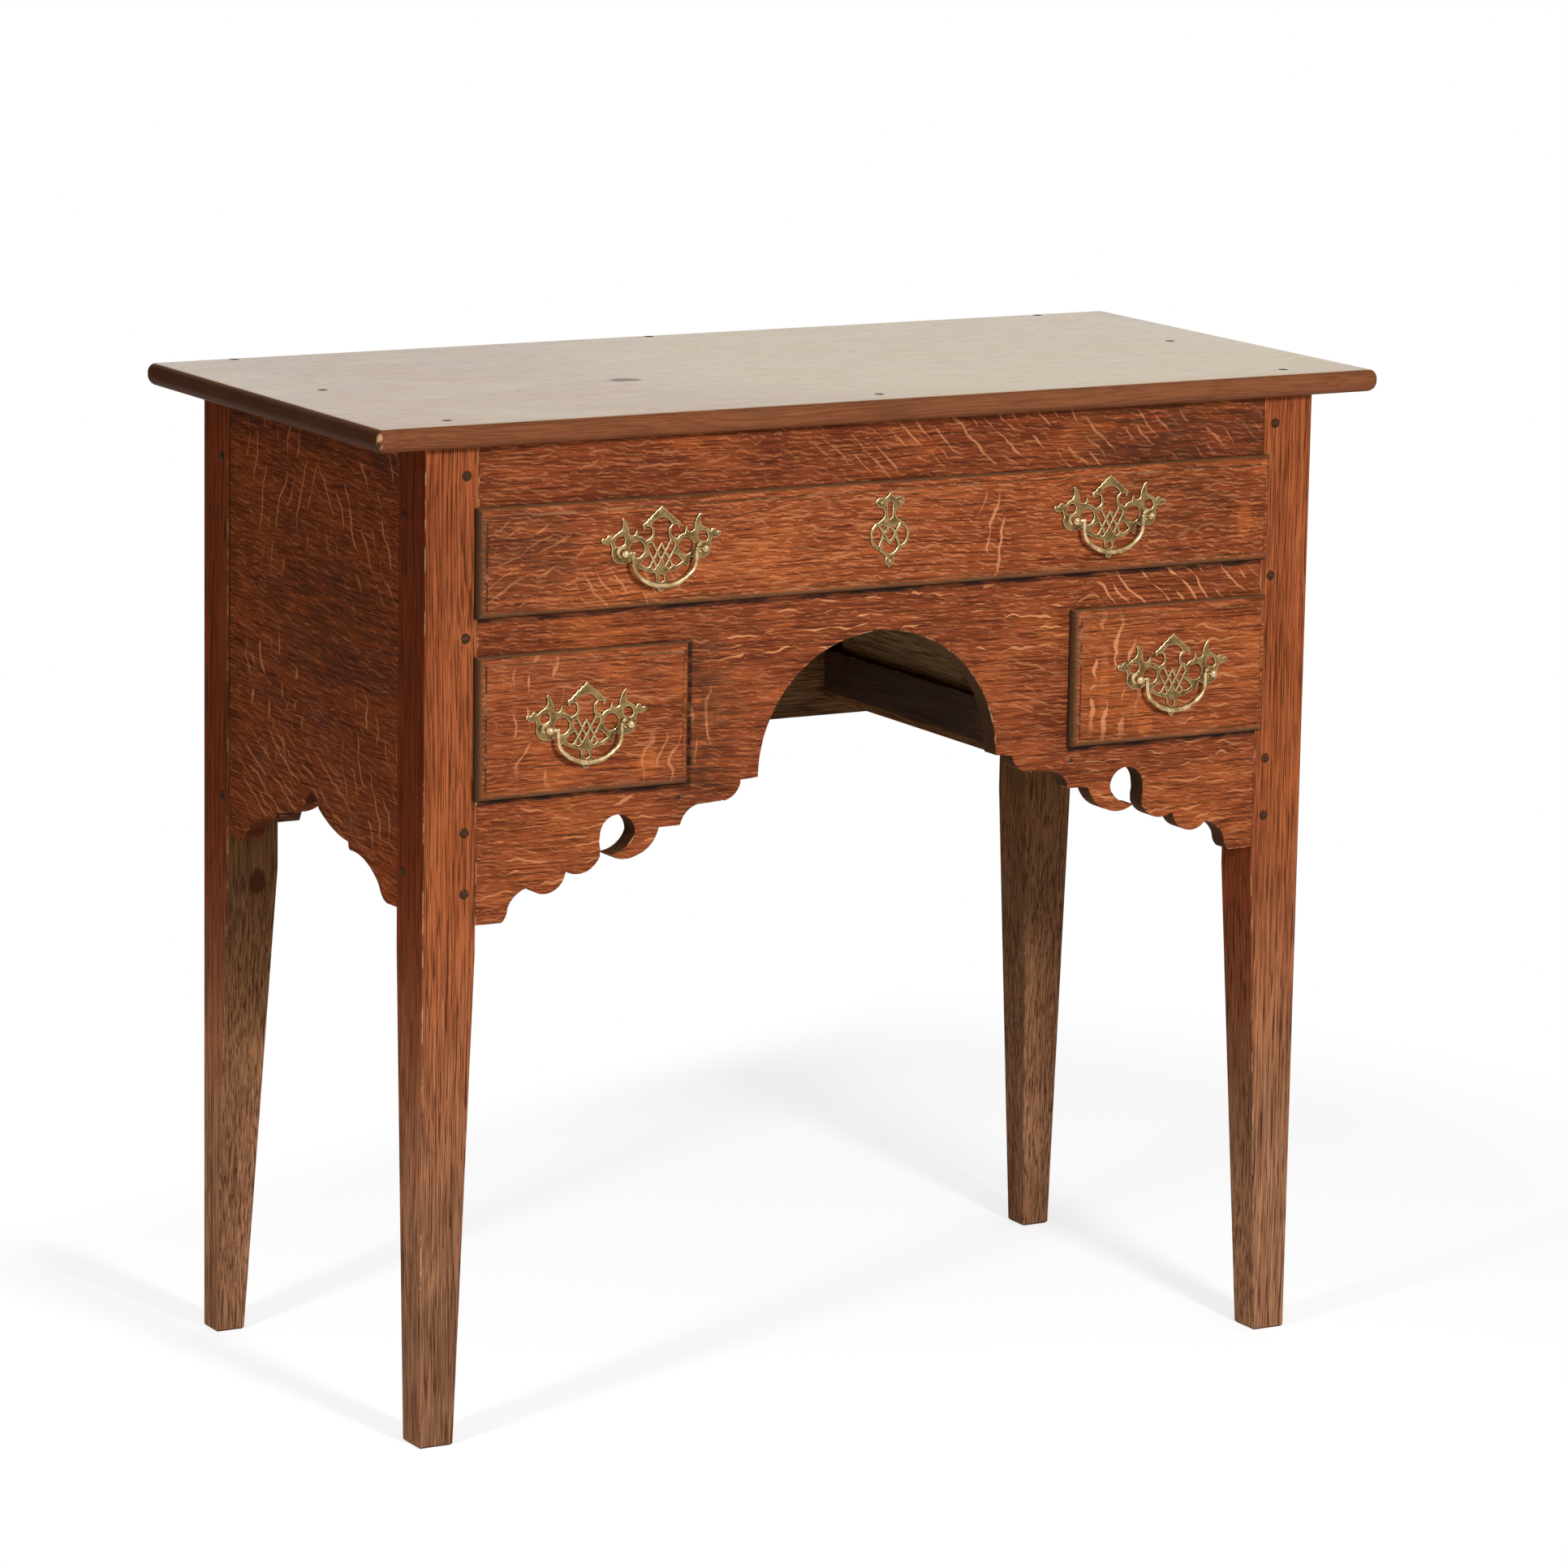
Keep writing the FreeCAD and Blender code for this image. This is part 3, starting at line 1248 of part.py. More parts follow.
def check_and_write():
    """Stop on any failed object, then write each node's solids."""
    DOC.recompute()
    for item in DOC.Objects:
        if "Invalid" in item.State or "Error" in item.State:
            raise RuntimeError("%s failed: %s" % (item.Label, item.State))
    for name, item in NODES.items():
        shape = item.Shape
        if shape.isNull() or not shape.isValid() or not shape.Solids:
            raise RuntimeError(name + " has no valid shape")
    os.makedirs("parts", exist_ok=True)
    for name, item in NODES.items():
        item.Shape.exportStep("parts/%s.step" % name)


make_top()
for leg, leg_side, leg_end in (("left_front_leg", -1, -1), ("right_front_leg", 1, -1),
                               ("left_back_leg", -1, 1), ("right_back_leg", 1, 1)):
    make_leg(leg, leg_side, leg_end)
make_frieze()
make_apron()
make_side_panel("left_side_panel", -1)
make_side_panel("right_side_panel", 1)
make_back_board()
make_runners()
make_pegs()
make_nails()
make_long_drawer()
make_short_drawer("left", -1)
make_short_drawer("right", 1)
check_and_write()
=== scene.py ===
import json
import math

import bmesh
import bpy
from bpy.props import FloatProperty, FloatVectorProperty, PointerProperty
from bpy.types import Operator, Panel, PropertyGroup
from mathutils import Matrix, Vector

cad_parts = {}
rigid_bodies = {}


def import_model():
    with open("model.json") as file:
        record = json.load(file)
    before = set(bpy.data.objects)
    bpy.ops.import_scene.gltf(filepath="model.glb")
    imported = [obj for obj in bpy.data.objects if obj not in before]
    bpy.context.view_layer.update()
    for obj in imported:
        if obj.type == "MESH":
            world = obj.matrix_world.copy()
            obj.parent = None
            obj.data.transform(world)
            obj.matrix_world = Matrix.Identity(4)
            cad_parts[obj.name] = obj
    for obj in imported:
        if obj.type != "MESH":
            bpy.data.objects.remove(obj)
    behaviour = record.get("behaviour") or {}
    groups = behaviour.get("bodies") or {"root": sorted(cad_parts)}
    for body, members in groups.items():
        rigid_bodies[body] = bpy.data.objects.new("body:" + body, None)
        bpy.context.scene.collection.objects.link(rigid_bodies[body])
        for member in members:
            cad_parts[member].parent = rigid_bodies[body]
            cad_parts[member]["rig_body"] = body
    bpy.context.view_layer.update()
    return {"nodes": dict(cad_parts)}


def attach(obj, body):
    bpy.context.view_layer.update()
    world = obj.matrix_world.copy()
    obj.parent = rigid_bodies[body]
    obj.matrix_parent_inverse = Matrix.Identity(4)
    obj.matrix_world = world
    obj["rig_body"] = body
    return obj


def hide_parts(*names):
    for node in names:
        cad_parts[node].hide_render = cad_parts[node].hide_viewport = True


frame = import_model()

bl_info = {
    "name": "Oak lowboy",
    "version": (1, 0, 0),
    "blender": (4, 5, 0),
    "location": "3D View > Sidebar > Lowboy",
    "description": "Dresses the packed lowboy in oak and brass and sets up a studio for it",
    "category": "Object",
}

MM = 0.001


def linear(red, green, blue):
    """A screen colour, each part 0 to 255, as the linear numbers that a colour property holds."""
    parts = []
    for value in (red, green, blue):
        share = value / 255
        if share <= 0.04045:
            parts.append(share / 12.92)
        else:
            parts.append(((share + 0.055) / 1.055) ** 2.4)
    return tuple(parts)


def colour(name, description, screen):
    return FloatVectorProperty(
        name=name, description=description, subtype="COLOR", size=3, min=0, max=1,
        default=linear(*screen),
    )


def length(name, description, default):
    return FloatProperty(
        name=name, description=description, subtype="DISTANCE", unit="LENGTH", min=0,
        precision=5, default=default,
    )


def angle(name, description, degrees):
    return FloatProperty(
        name=name, description=description, subtype="ANGLE", unit="ROTATION",
        default=math.radians(degrees),
    )


def factor(name, description, default, top=1.0):
    return FloatProperty(
        name=name, description=description, subtype="FACTOR", min=0, max=top, default=default
    )


def power(name, description, watts):
    return FloatProperty(
        name=name, description=description, subtype="POWER", unit="POWER", min=0, default=watts
    )


# ---------------------------------------------------------------- settings


class OakLook(PropertyGroup):
    """Colours and sizes of the oak."""

    front_deep: colour("Front, dark", "Dark growth of the front boards", (114, 49, 23))
    front_mid: colour("Front, light", "Light growth of the front boards", (163, 86, 46))
    front_warm: colour("Front, warm", "Orange patches of the front boards", (188, 100, 48))
    fleck: colour("Ray fleck", "Ray flecks of the front boards", (210, 138, 90))
    frieze_deep: colour("Frieze, dark", "Dark growth of the rail over the drawers", (90, 37, 17))
    frieze_mid: colour("Frieze, light", "Light growth of the rail over the drawers", (140, 69, 37))
    apron_deep: colour("Apron, dark", "Dark growth of the apron", (100, 43, 21))
    apron_mid: colour("Apron, light", "Light growth of the apron", (156, 80, 44))
    leg_deep: colour("Leg, dark", "Dark growth of the posts", (126, 62, 32))
    leg_mid: colour("Leg, light", "Light growth of the posts", (176, 98, 56))
    back_deep: colour("Back leg, dark", "Dark growth of the back legs' fronts", (92, 62, 37))
    back_mid: colour("Back leg, light", "Light growth of the back legs' fronts", (150, 102, 60))
    # Soiling and painted shade on the drawer fronts' lips, heaviest at the bottom and left.
    lip_dirt_and_shade: colour("Lip", "Dirty moulded lips of the drawer fronts", (106, 76, 52))
    # Painted shadow as well as soiling, laid round the drawers on the boards behind them.
    dark: colour("Joint", "Dirt in the joints round the drawers", (34, 20, 13))
    foot_deep: colour("Foot, dark", "Dark growth of the worn lower legs", (106, 70, 48))
    foot_mid: colour("Foot, light", "Light growth of the worn lower legs", (164, 117, 85))
    panel_deep: colour("Side, dark", "Dark growth of the side panels", (106, 44, 20))
    panel_mid: colour("Side, light", "Light growth of the side panels", (154, 76, 37))
    panel_fleck: colour("Side fleck", "Ray flecks of the side panels", (204, 128, 80))
    top_deep: colour("Top, dark", "Dark growth of the top", (160, 118, 62))
    top_mid: colour("Top, light", "Light growth of the top", (198, 150, 84))
    top_pale: colour("Top, pale", "Pale growth of the top's right end", (214, 182, 118))
    top_edge: colour("Top, moulding", "Stained moulding of the top", (112, 62, 39))
    # The rims' darker grain, and partly painted shade on them.
    shaped: colour("Shaped edge", "Faces sawn or moulded at the rims of the boards", (102, 78, 48))
    flank_tint: colour("Leg, side", "Stained left faces of the front legs", (112, 46, 21))
    behind_deep: colour("Back, dark", "Dark growth of the back board", (76, 52, 31))
    behind_mid: colour("Back, light", "Light growth of the back board", (140, 100, 62))
    # The boards inside the case are painted dark for the shade that lies inside it.
    inner_deep_painted_shade: colour("Inside, dark", "Dark growth of the boards inside the case", (36, 25, 16))
    inner_mid_painted_shade: colour("Inside, light", "Light growth of the boards inside the case", (72, 52, 35))
    box_deep: colour("Drawer box, dark", "Dark growth of the drawer boxes", (116, 88, 58))
    box_mid: colour("Drawer box, light", "Light growth of the drawer boxes", (172, 138, 98))
    pore: colour("Pores", "Open pores, filled with dirt and wax", (70, 32, 16))
    worn: colour("Worn arris", "Bare wood on worn edges", (214, 160, 118))
    # Also laid as painted shadow under the top's overhang on the side panels.
    grime: colour("Grime", "Dirt in corners and dark end grain", (52, 36, 25))
    peg: colour("Peg", "Dark end grain of the pegs", (66, 43, 27))
    arris: length("Arris", "Rounding of the boards' edges", 0.7 * MM)


class BrassLook(PropertyGroup):
    """Colours and sizes of the brass and the iron."""

    brass: colour("Brass", "Rubbed antique brass", (150, 124, 80))
    tarnish: colour("Tarnish", "Dull brass in the hollows", (98, 76, 46))
    cast: colour("Cast brass", "Handled brass of the posts and bails", (220, 192, 146))
    bright: colour("Bright brass", "Worn edges", (224, 206, 158))
    iron: colour("Iron", "Old iron of the nails and nuts", (46, 40, 36))
    edge: length("Edge", "Rounding of the plates' edges", 0.45 * MM)


class StudioLook(PropertyGroup):
    """The camera, the lamps and the floor."""

    azimuth: angle("Azimuth", "Turn of the camera from the front", -29.705)
    elevation: angle("Elevation", "Height of the camera above the horizon", 11.074)
    roll: angle("Roll", "Turn of the camera about its own axis", 0.963)
    distance: length("Distance", "From the camera to the middle of the lowboy", 4897.3 * MM)
    aside: length("Aside", "Camera's step to its right", 21.4 * MM)
    up: length("Up", "Camera's step upwards", 49.4 * MM)
    aim_back: length("Aim, back", "Depth of the point that the camera turns about", 8.75 * MM)
    aim_high: length("Aim, height", "Height of the point that the camera turns about", 355 * MM)
    focal: FloatProperty(
        name="Lens", description="Focal length on a 36 mm sensor", subtype="DISTANCE_CAMERA",
        default=155.38,
    )
    key: power("Key", "Power of the key lamp", 70.0)
    low: power("Low", "Power of the low lamp at the left", 100.0)
    fill: factor("Fill", "Brightness of the sky that lights the lowboy", 0.36, 4.0)
    floor: length("Floor", "Radius of the floor", 8.0)
    shadow: factor("Shadow", "Share of the floor's look that takes shadows", 0.4)
    bounce: factor("Bounce", "Light that the floor throws back on the lowboy", 0.6)
    flag_away: length("Flag", "From the lowboy's middle to the dark board behind its left", 3.2)


# ---------------------------------------------------------------- materials


class Recipe:
    """The node tree of a material, or of the world, while it is put together."""

    def __init__(self, owner):
        owner.use_nodes = True
        self.owner = owner
        self.tree = owner.node_tree
        self.tree.nodes.clear()

    def put(self, socket, value):
        if isinstance(value, bpy.types.NodeSocket):
            self.tree.links.new(value, socket)
        elif socket.type == "RGBA" and len(value) == 3:
            socket.default_value = (*value, 1)
        else:
            socket.default_value = value

    def node(self, kind, sockets=None, **settings):
        made = self.tree.nodes.new(kind)
        for key, value in settings.items():
            setattr(made, key, value)
        for key, value in (sockets or {}).items():
            self.put(made.inputs[key], value)
        return made

    def maths(self, operation, *values, clamp=False):
        sockets = dict(enumerate(values))
        return self.node("ShaderNodeMath", sockets, operation=operation, use_clamp=clamp).outputs[0]

    def times(self, first, second):
        return self.maths("MULTIPLY", first, second)

    def plus(self, first, second):
        return self.maths("ADD", first, second)

    def rest(self, share):
        """What a share leaves of one."""
        return self.maths("SUBTRACT", 1.0, share)

    def strongest(self, first, *others):
        for other in others:
            first = self.maths("MAXIMUM", first, other)
        return first

    def vector(self, operation, *values):
        made = self.node("ShaderNodeVectorMath", operation=operation)
        for socket, value in zip(made.inputs, values):
            self.put(socket, value)
        name = "Value" if operation in ("LENGTH", "DOT_PRODUCT") else "Vector"
        return made.outputs[name]

    def parts(self, vector):
        return self.node("ShaderNodeSeparateXYZ", {0: vector}).outputs

    def place(self):
        """A point's place on the piece, in millimetres."""
        metres = self.node("ShaderNodeTexCoord").outputs["Object"]
        return self.vector("MULTIPLY", metres, (1000, 1000, 1000))

    def wear(self):
        """One on the rounded edges, nothing elsewhere."""
        return self.node("ShaderNodeAttribute", attribute_name=WEAR).outputs["Fac"]

    def between(self, value, low, high, start=0.0, stop=1.0):
        """Goes smoothly from start to stop as value goes from low to high."""
        sockets = {"Value": value, 1: low, 2: high, 3: start, 4: stop}
        made = self.node("ShaderNodeMapRange", sockets, interpolation_type="SMOOTHSTEP")
        return made.outputs[0]

    def noise(self, space, scale, detail=2.0, rough=0.5, flat=False, tint=False):
        """Noise in waves per millimetre, along each of the coordinates or the same for all."""
        waves = scale if isinstance(scale, tuple) else (scale, scale, scale)
        sockets = {
            "Vector": self.vector("MULTIPLY", space, waves),
            "Scale": 1.0, "Detail": detail, "Roughness": rough,
        }
        dimensions = "2D" if flat else "3D"
        made = self.node("ShaderNodeTexNoise", sockets, noise_dimensions=dimensions)
        return made.outputs["Color" if tint else "Fac"]

    def mix(self, share, first, second):
        """The second colour laid over the first one by a share."""
        made = self.node("ShaderNodeMix", data_type="RGBA")
        for index, value in ((0, share), (6, first), (7, second)):
            self.put(made.inputs[index], value)
        return made.outputs[2]

    def surface(self, relief, strength, depth, sockets):
        """Finishes a material whose relief is depth millimetres deep."""
        bump = {"Height": relief, "Strength": strength, "Distance": depth * MM}
        normal = self.node("ShaderNodeBump", bump).outputs[0]
        shader = self.node("ShaderNodeBsdfPrincipled", {**sockets, "Normal": normal})
        return self.finish(shader.outputs[0])

    def finish(self, shader):
        self.node("ShaderNodeOutputMaterial", {"Surface": shader})
        return self.owner


def new_recipe(name):
    return Recipe(bpy.data.materials.new(name))


def scaled(tone, share):
    """A colour made darker or lighter."""
    return tuple(min(1.0, part * share) for part in tone)


# The name of the mark that the rounded edges carry.
WEAR = "wear"
# The object's axes that lie along the grain of a board, across it and through the board.
GRAIN = {"x": (0, 2, 1), "y": (1, 2, 0), "z": (2, 0, 1), "flat": (0, 1, 2)}
ALONG, THROUGH = 0, 2


def board_space(recipe, grain):
    """Board coordinates in millimetres: along the grain, across it and through the board."""
    parts = recipe.parts(recipe.place())
    turned = {index: parts[axis] for index, axis in enumerate(GRAIN[grain])}
    return recipe.node("ShaderNodeCombineXYZ", turned).outputs[0]


def faces_turned(recipe, grain, direction, start, stop):
    """Nothing to one as the cosine between a face's normal and a direction of the board,
    ALONG or THROUGH, goes from start to stop."""
    normal = recipe.node("ShaderNodeNewGeometry").outputs["True Normal"]
    part = recipe.parts(normal)[GRAIN[grain][direction]]
    return recipe.between(recipe.maths("ABSOLUTE", part), start, stop)


def outside(recipe, place, along, across, half_long, half_high):
    """How far in millimetres a point lies outside of a rectangle, less than nothing inside."""
    offset = recipe.vector("ABSOLUTE", recipe.vector("SUBTRACT", place, (along, across, 0)))
    beyond = recipe.parts(recipe.vector("SUBTRACT", offset, (half_long, half_high, 0)))
    return recipe.strongest(beyond[0], beyond[1])


def patch(recipe, place, along, across, half_long, half_high):
    """One inside an oval patch of the board, falling to nothing at its rim."""
    offset = recipe.vector("SUBTRACT", place, (along, across, 0))
    spread = recipe.vector("MULTIPLY", offset, (1 / half_long, 1 / half_high, 0))
    return recipe.between(recipe.vector("LENGTH", spread), 1.15, 0.6)


def patches(recipe, place, ovals):
    """The strongest of several patches, each given as its middle, half sizes and strength."""
    return recipe.strongest(*(
        recipe.times(patch(recipe, place, *oval), strength) for *oval, strength in ovals
    ))


def flecks(recipe, space, turn, spacing, wander, reach, reach_long, thick, cover, seed):
    """Ray flecks: tapered pale lines at an angle to the grain that wander from side to side.

    They stand spacing apart and swing wander spacings, once in each reach, and break after
    about reach_long. Thick is their breadth, and cover the share of the lines that show.
    All lengths are millimetres, and turn is in degrees.
    """
    turned = recipe.node("ShaderNodeMapping", {
        "Vector": space, "Rotation": (0, 0, -math.radians(turn)),
        "Location": (seed * 31.7, seed * 17.3, 0),
    }).outputs[0]
    swing = recipe.noise(turned, (1 / reach, 0.8 / reach, 0), 2, 0.55, flat=True)
    across = recipe.maths("DIVIDE", recipe.parts(turned)[1], spacing)
    phase = recipe.maths("FRACT", recipe.plus(across, recipe.times(swing, wander)))
    off = recipe.maths("ABSOLUTE", recipe.maths("SUBTRACT", phase, 0.5))
    breaks = recipe.noise(turned, (1 / reach_long, 0.7 / spacing, 0), 1, flat=True)
    width = recipe.between(breaks, 0.66 - 0.3 * cover, 0.86 - 0.3 * cover, 0, thick)
    away = recipe.maths("DIVIDE", recipe.times(off, spacing), recipe.plus(width, 0.001))
    return recipe.maths("MULTIPLY", recipe.rest(away), 3.0, clamp=True)


def swayed(recipe, space, scale, detail, reach):
    """Coordinates moved to and fro by a noise, at most by half of reach along each of them."""
    noise = recipe.noise(space, scale, detail, tint=True)
    offset = recipe.vector("SUBTRACT", noise, (0.5, 0.5, 0.5))
    return recipe.vector("ADD", space, recipe.vector("MULTIPLY", offset, reach))


def oak(
    name, grain, deep, mid, fleck=None, warm=None, seed=0.0, figures=(), blotches=(), grime=(),
    knots=(), foot=None, rough=(0.42, 0.62), specular=0.07, coat=0.0, coat_rough=0.2, pores=0.8,
    worn=0.7, soil=0.3, end=0.55, flank=None, chips=(), field=None, joints=(), bow=14.0,
    turn=(0.85, 0.3), relief_depth=0.25,
):
    """Old oak between the tones deep and mid, with patches in warm.

    Figures are fleck settings with a strength and the ovals they show in. Blotches, one of them a
    painted highlight, the patches of soiling and painted shadow, and chips are ovals too, and
    knots are a middle and a size.
    Flank is the colour of the faces that are turned from the board's face, and its share, and
    turn the cosines between the two where the colour starts and is full. On the front boards
    the flank colour is partly painted shade.
    Foot holds two tones and the heights where they are full and where they end.
    Field is the rectangle inside a drawer front's lips, which are darkened with soiling and
    painted shade, and joints are the drawers' outlines, round which painted shadow and soiling lie.
    """
    look = bpy.context.scene.lowboy_oak
    recipe = new_recipe(name)
    place = board_space(recipe, grain)
    space = recipe.vector("ADD", place, (seed * 211.3, seed * 97.1, seed * 41.7))
    wavy = swayed(recipe, space, (0.004, 0.012, 0.012), 1.5, (0, bow, bow))

    # The growth, with its clouds and its finest fibres.
    cloud = recipe.noise(space, (0.012, 0.03, 0.03), 3, 0.6)
    growth = recipe.noise(wavy, (0.003, 0.8, 0.8), 1)
    fibre = recipe.noise(wavy, (0.02, 1.2, 1.2), 2, 0.6)
    tone = recipe.plus(recipe.times(growth, 0.25), recipe.times(fibre, 0.45))
    tone = recipe.between(recipe.plus(tone, recipe.times(cloud, 0.3)), 0.36, 0.64)
    tint = recipe.mix(tone, deep, mid)
    if warm:
        spots = recipe.between(recipe.noise(space, (0.012, 0.022, 0.01), 1.5), 0.5, 0.7, 0, 0.5)
        if blotches:
            spots = recipe.strongest(spots, patches(recipe, place, blotches))
        tint = recipe.mix(spots, tint, recipe.mix(0.35, warm, recipe.mix(tone, deep, warm)))

    # The faces that are turned from the board's face, which take the flank colour (partly
    # painted shade on the front boards), and the worn foot.
    side = faces_turned(recipe, grain, THROUGH, *turn)
    if flank:
        flank_tone, share = flank
        flank_tint = recipe.mix(tone, scaled(flank_tone, 0.8), scaled(flank_tone, 1.5))
        tint = recipe.mix(recipe.times(side, share), tint, flank_tint)
    if foot:
        low_deep, low_mid, low, high = foot
        unrest = 120
        height = recipe.plus(recipe.parts(place)[0], recipe.times(cloud, unrest))
        share = recipe.between(height, high + unrest / 2, low + unrest / 2)
        tint = recipe.mix(share, tint, recipe.mix(tone, low_deep, low_mid))

    # The open pores, and the ray flecks that close most of them.
    dash = recipe.noise(wavy, (0.028, 1.5, 1.5), 1)
    dash = recipe.plus(dash, recipe.times(recipe.maths("SUBTRACT", growth, 0.5), -0.3))
    pore = recipe.between(dash, 0.55, 0.61)
    rays = []
    for strength, ovals, settings in figures:
        ray = recipe.times(flecks(recipe, wavy, *settings), strength)
        rays.append(recipe.times(ray, patches(recipe, place, ovals)) if ovals else ray)
    if rays:
        shown = recipe.times(recipe.strongest(*rays), recipe.rest(side))
        pore = recipe.times(pore, recipe.rest(recipe.times(shown, 0.75)))
        tint = recipe.mix(shown, tint, fleck)
    tint = recipe.mix(recipe.times(pore, pores), tint, look.pore)

    # The knots, then soiling mixed with painted shade and shadow: on patches, lips and joints.
    dull = recipe.times(side, 0.9)
    for along, across, size in knots:
        unsettled = swayed(recipe, place, (0.12, 0.2, 0.2), 3, (14, 7, 0))
        spot = patch(recipe, unsettled, along, across, size * 1.5, size)
        tint = recipe.mix(recipe.times(spot, 0.85), tint, look.pore)
        dull = recipe.strongest(dull, recipe.times(spot, 0.5))
    # Patches of soiling; the band at the top of a side panel is painted shadow under the top's
    # overhang.
    if grime:
        dirt_and_shade = recipe.between(recipe.noise(wavy, (0.03, 0.2, 0.2), 3, 0.6), 0.4, 0.56)
        tint = recipe.mix(recipe.times(dirt_and_shade, patches(recipe, place, grime)), tint, look.grime)
    # Painted shade and soiling on a drawer front's lips, widest at the bottom and left.
    if field:
        lip_dirt_and_shade = recipe.between(outside(recipe, place, *field), -0.4, 0.6, 0, 0.8)
        broken = recipe.between(recipe.noise(wavy, (0.02, 0.3, 0.3), 3), 0.3, 0.6, 0.6, 1)
        tint = recipe.mix(recipe.times(lip_dirt_and_shade, broken), tint, look.lip_dirt_and_shade)
    # Painted shadow and soiling round each drawer, moved down and to the right, where the shadow
    # falls.
    for *outline, reach in joints:
        dirt_and_shade = recipe.between(outside(recipe, place, *outline), reach, 0.5)
        broken = recipe.between(recipe.noise(wavy, (0.04, 0.2, 0.2), 3), 0.35, 0.6, 0.5, 1)
        tint = recipe.mix(recipe.times(dirt_and_shade, broken), tint, look.dark)

    # The end grain, and the worn edges.
    cut = faces_turned(recipe, grain, ALONG, 0.25, 0.8)
    tint = recipe.mix(recipe.times(cut, end), tint, look.grime)
    edge = recipe.wear()
    tint = recipe.mix(recipe.times(edge, soil), tint, look.grime)
    rub = recipe.between(recipe.noise(space, (0.05, 0.1, 0.1), 3, 0.65), 0.5, 0.62)
    tint = recipe.mix(recipe.times(recipe.times(edge, rub), worn), tint, look.worn)
    if chips:
        chip = recipe.between(recipe.noise(place, 0.22, 3, 0.6), 0.42, 0.5)
        tint = recipe.mix(recipe.times(chip, patches(recipe, place, chips)), tint, look.worn)

    gloss = recipe.plus(recipe.between(cloud, 0.3, 0.7, *rough), recipe.times(pore, 0.15))
    if coat:
        coat = recipe.times(recipe.rest(dull), coat)
    relief = recipe.maths("SUBTRACT", recipe.times(fibre, 0.35), pore)
    return recipe.surface(relief, 0.5, relief_depth, {
        "Base Color": tint, "Roughness": recipe.strongest(gloss, dull),
        "Specular IOR Level": specular, "Coat Weight": coat, "Coat Roughness": coat_rough,
    })


def end_grain(name):
    """The dark, rubbed head of an oak peg."""
    look = bpy.context.scene.lowboy_oak
    recipe = new_recipe(name)
    place = recipe.place()
    speck = recipe.noise(place, 0.8, 3, 0.6)
    lump = recipe.noise(place, 0.45)
    tint = recipe.mix(recipe.between(speck, 0.55, 0.64), look.peg, scaled(look.peg, 3.0))
    return recipe.surface(recipe.plus(recipe.times(speck, 0.3), lump), 0.7, 0.5, {
        "Base Color": tint, "Roughness": 0.6, "Specular IOR Level": 0.04,
    })


def metal(name, fresh, dull, bright, rough, lumps=0.3, metallic=1.0):
    """Old metal: mottled with tarnish, and bright where its edges are rubbed."""
    recipe = new_recipe(name)
    place = recipe.place()
    cloud = recipe.noise(place, 0.16, 4, 0.62)
    grit = recipe.noise(place, 1.3, 3, 0.6)
    both = recipe.plus(recipe.times(cloud, 0.7), recipe.times(grit, 0.3))
    tint = recipe.mix(recipe.between(both, 0.4, 0.6), dull, fresh)
    rubbed = recipe.times(recipe.wear(), recipe.between(grit, 0.3, 0.6))
    tint = recipe.mix(rubbed, tint, bright)
    fine, coarse = rough
    gloss = recipe.between(both, 0.38, 0.62, coarse, fine)
    return recipe.surface(recipe.plus(cloud, recipe.times(grit, 0.4)), lumps, 0.3, {
        "Base Color": tint, "Metallic": metallic, "Roughness": gloss,
    })


# ---------------------------------------------------------------- pieces


# Corners nearer than JOIN are one, and faces that meet at less than FLAT are one face.
JOIN = 0.002 * MM
FLAT = math.radians(0.6)
# Edges that turn by more than SHARP are rounded above the chamfers of the feet, where they are
# longer than the shortest one for a board or a plate.
SHARP = math.radians(35)
FOOT_CHAMFER = 3 * MM
BOARD_EDGE = 2.5 * MM
PLATE_EDGE = 0.2 * MM
# Faces of a board, or of a cast or turned piece, that meet at fewer degrees are shaded as one.
BOARD_SMOOTH = 22
CAST_SMOOTH = 40
HANDLES = ("long_left", "long_right", "left_short", "right_short")


def in_scene(name, data):
    made = bpy.data.objects.new(name, data)
    bpy.context.scene.collection.objects.link(made)
    return made


def made_object(shape, name, material):
    """Turns a finished shape into an object of the scene."""
    mesh = bpy.data.meshes.new(name)
    shape.to_mesh(mesh)
    shape.free()
    mesh.materials.append(material)
    return in_scene(name, mesh)


def joined_copy(node, whole=True):
    """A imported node's mesh with its loose triangles merged, and its flat faces made whole."""
    shape = bmesh.new()
    shape.from_mesh(frame["nodes"][node].data)
    bmesh.ops.remove_doubles(shape, verts=shape.verts, dist=JOIN)
    if whole:
        bmesh.ops.dissolve_limit(
            shape, angle_limit=FLAT, use_dissolve_boundaries=False, verts=shape.verts,
            edges=shape.edges, delimit=set(),
        )
    return shape


def round_edges(shape, width, shortest):
    """Rounds the sharp edges and marks the rounding as worn."""
    wear = shape.faces.layers.float.new(WEAR)
    sharp = []
    for edge in shape.edges:
        at_foot = max(corner.co.z for corner in edge.verts) < FOOT_CHAMFER
        if not edge.is_manifold or at_foot or edge.calc_length() < shortest:
            continue
        if edge.calc_face_angle(0) > SHARP:
            sharp.append(edge)
    made = bmesh.ops.bevel(
        shape, geom=sharp, offset=width, offset_type="OFFSET", segments=2, profile=0.5,
        affect="EDGES", clamp_overlap=False, material=-1,
    )
    for face in made["faces"]:
        face[wear] = 1.0
    bmesh.ops.dissolve_degenerate(shape, dist=JOIN, edges=shape.edges)


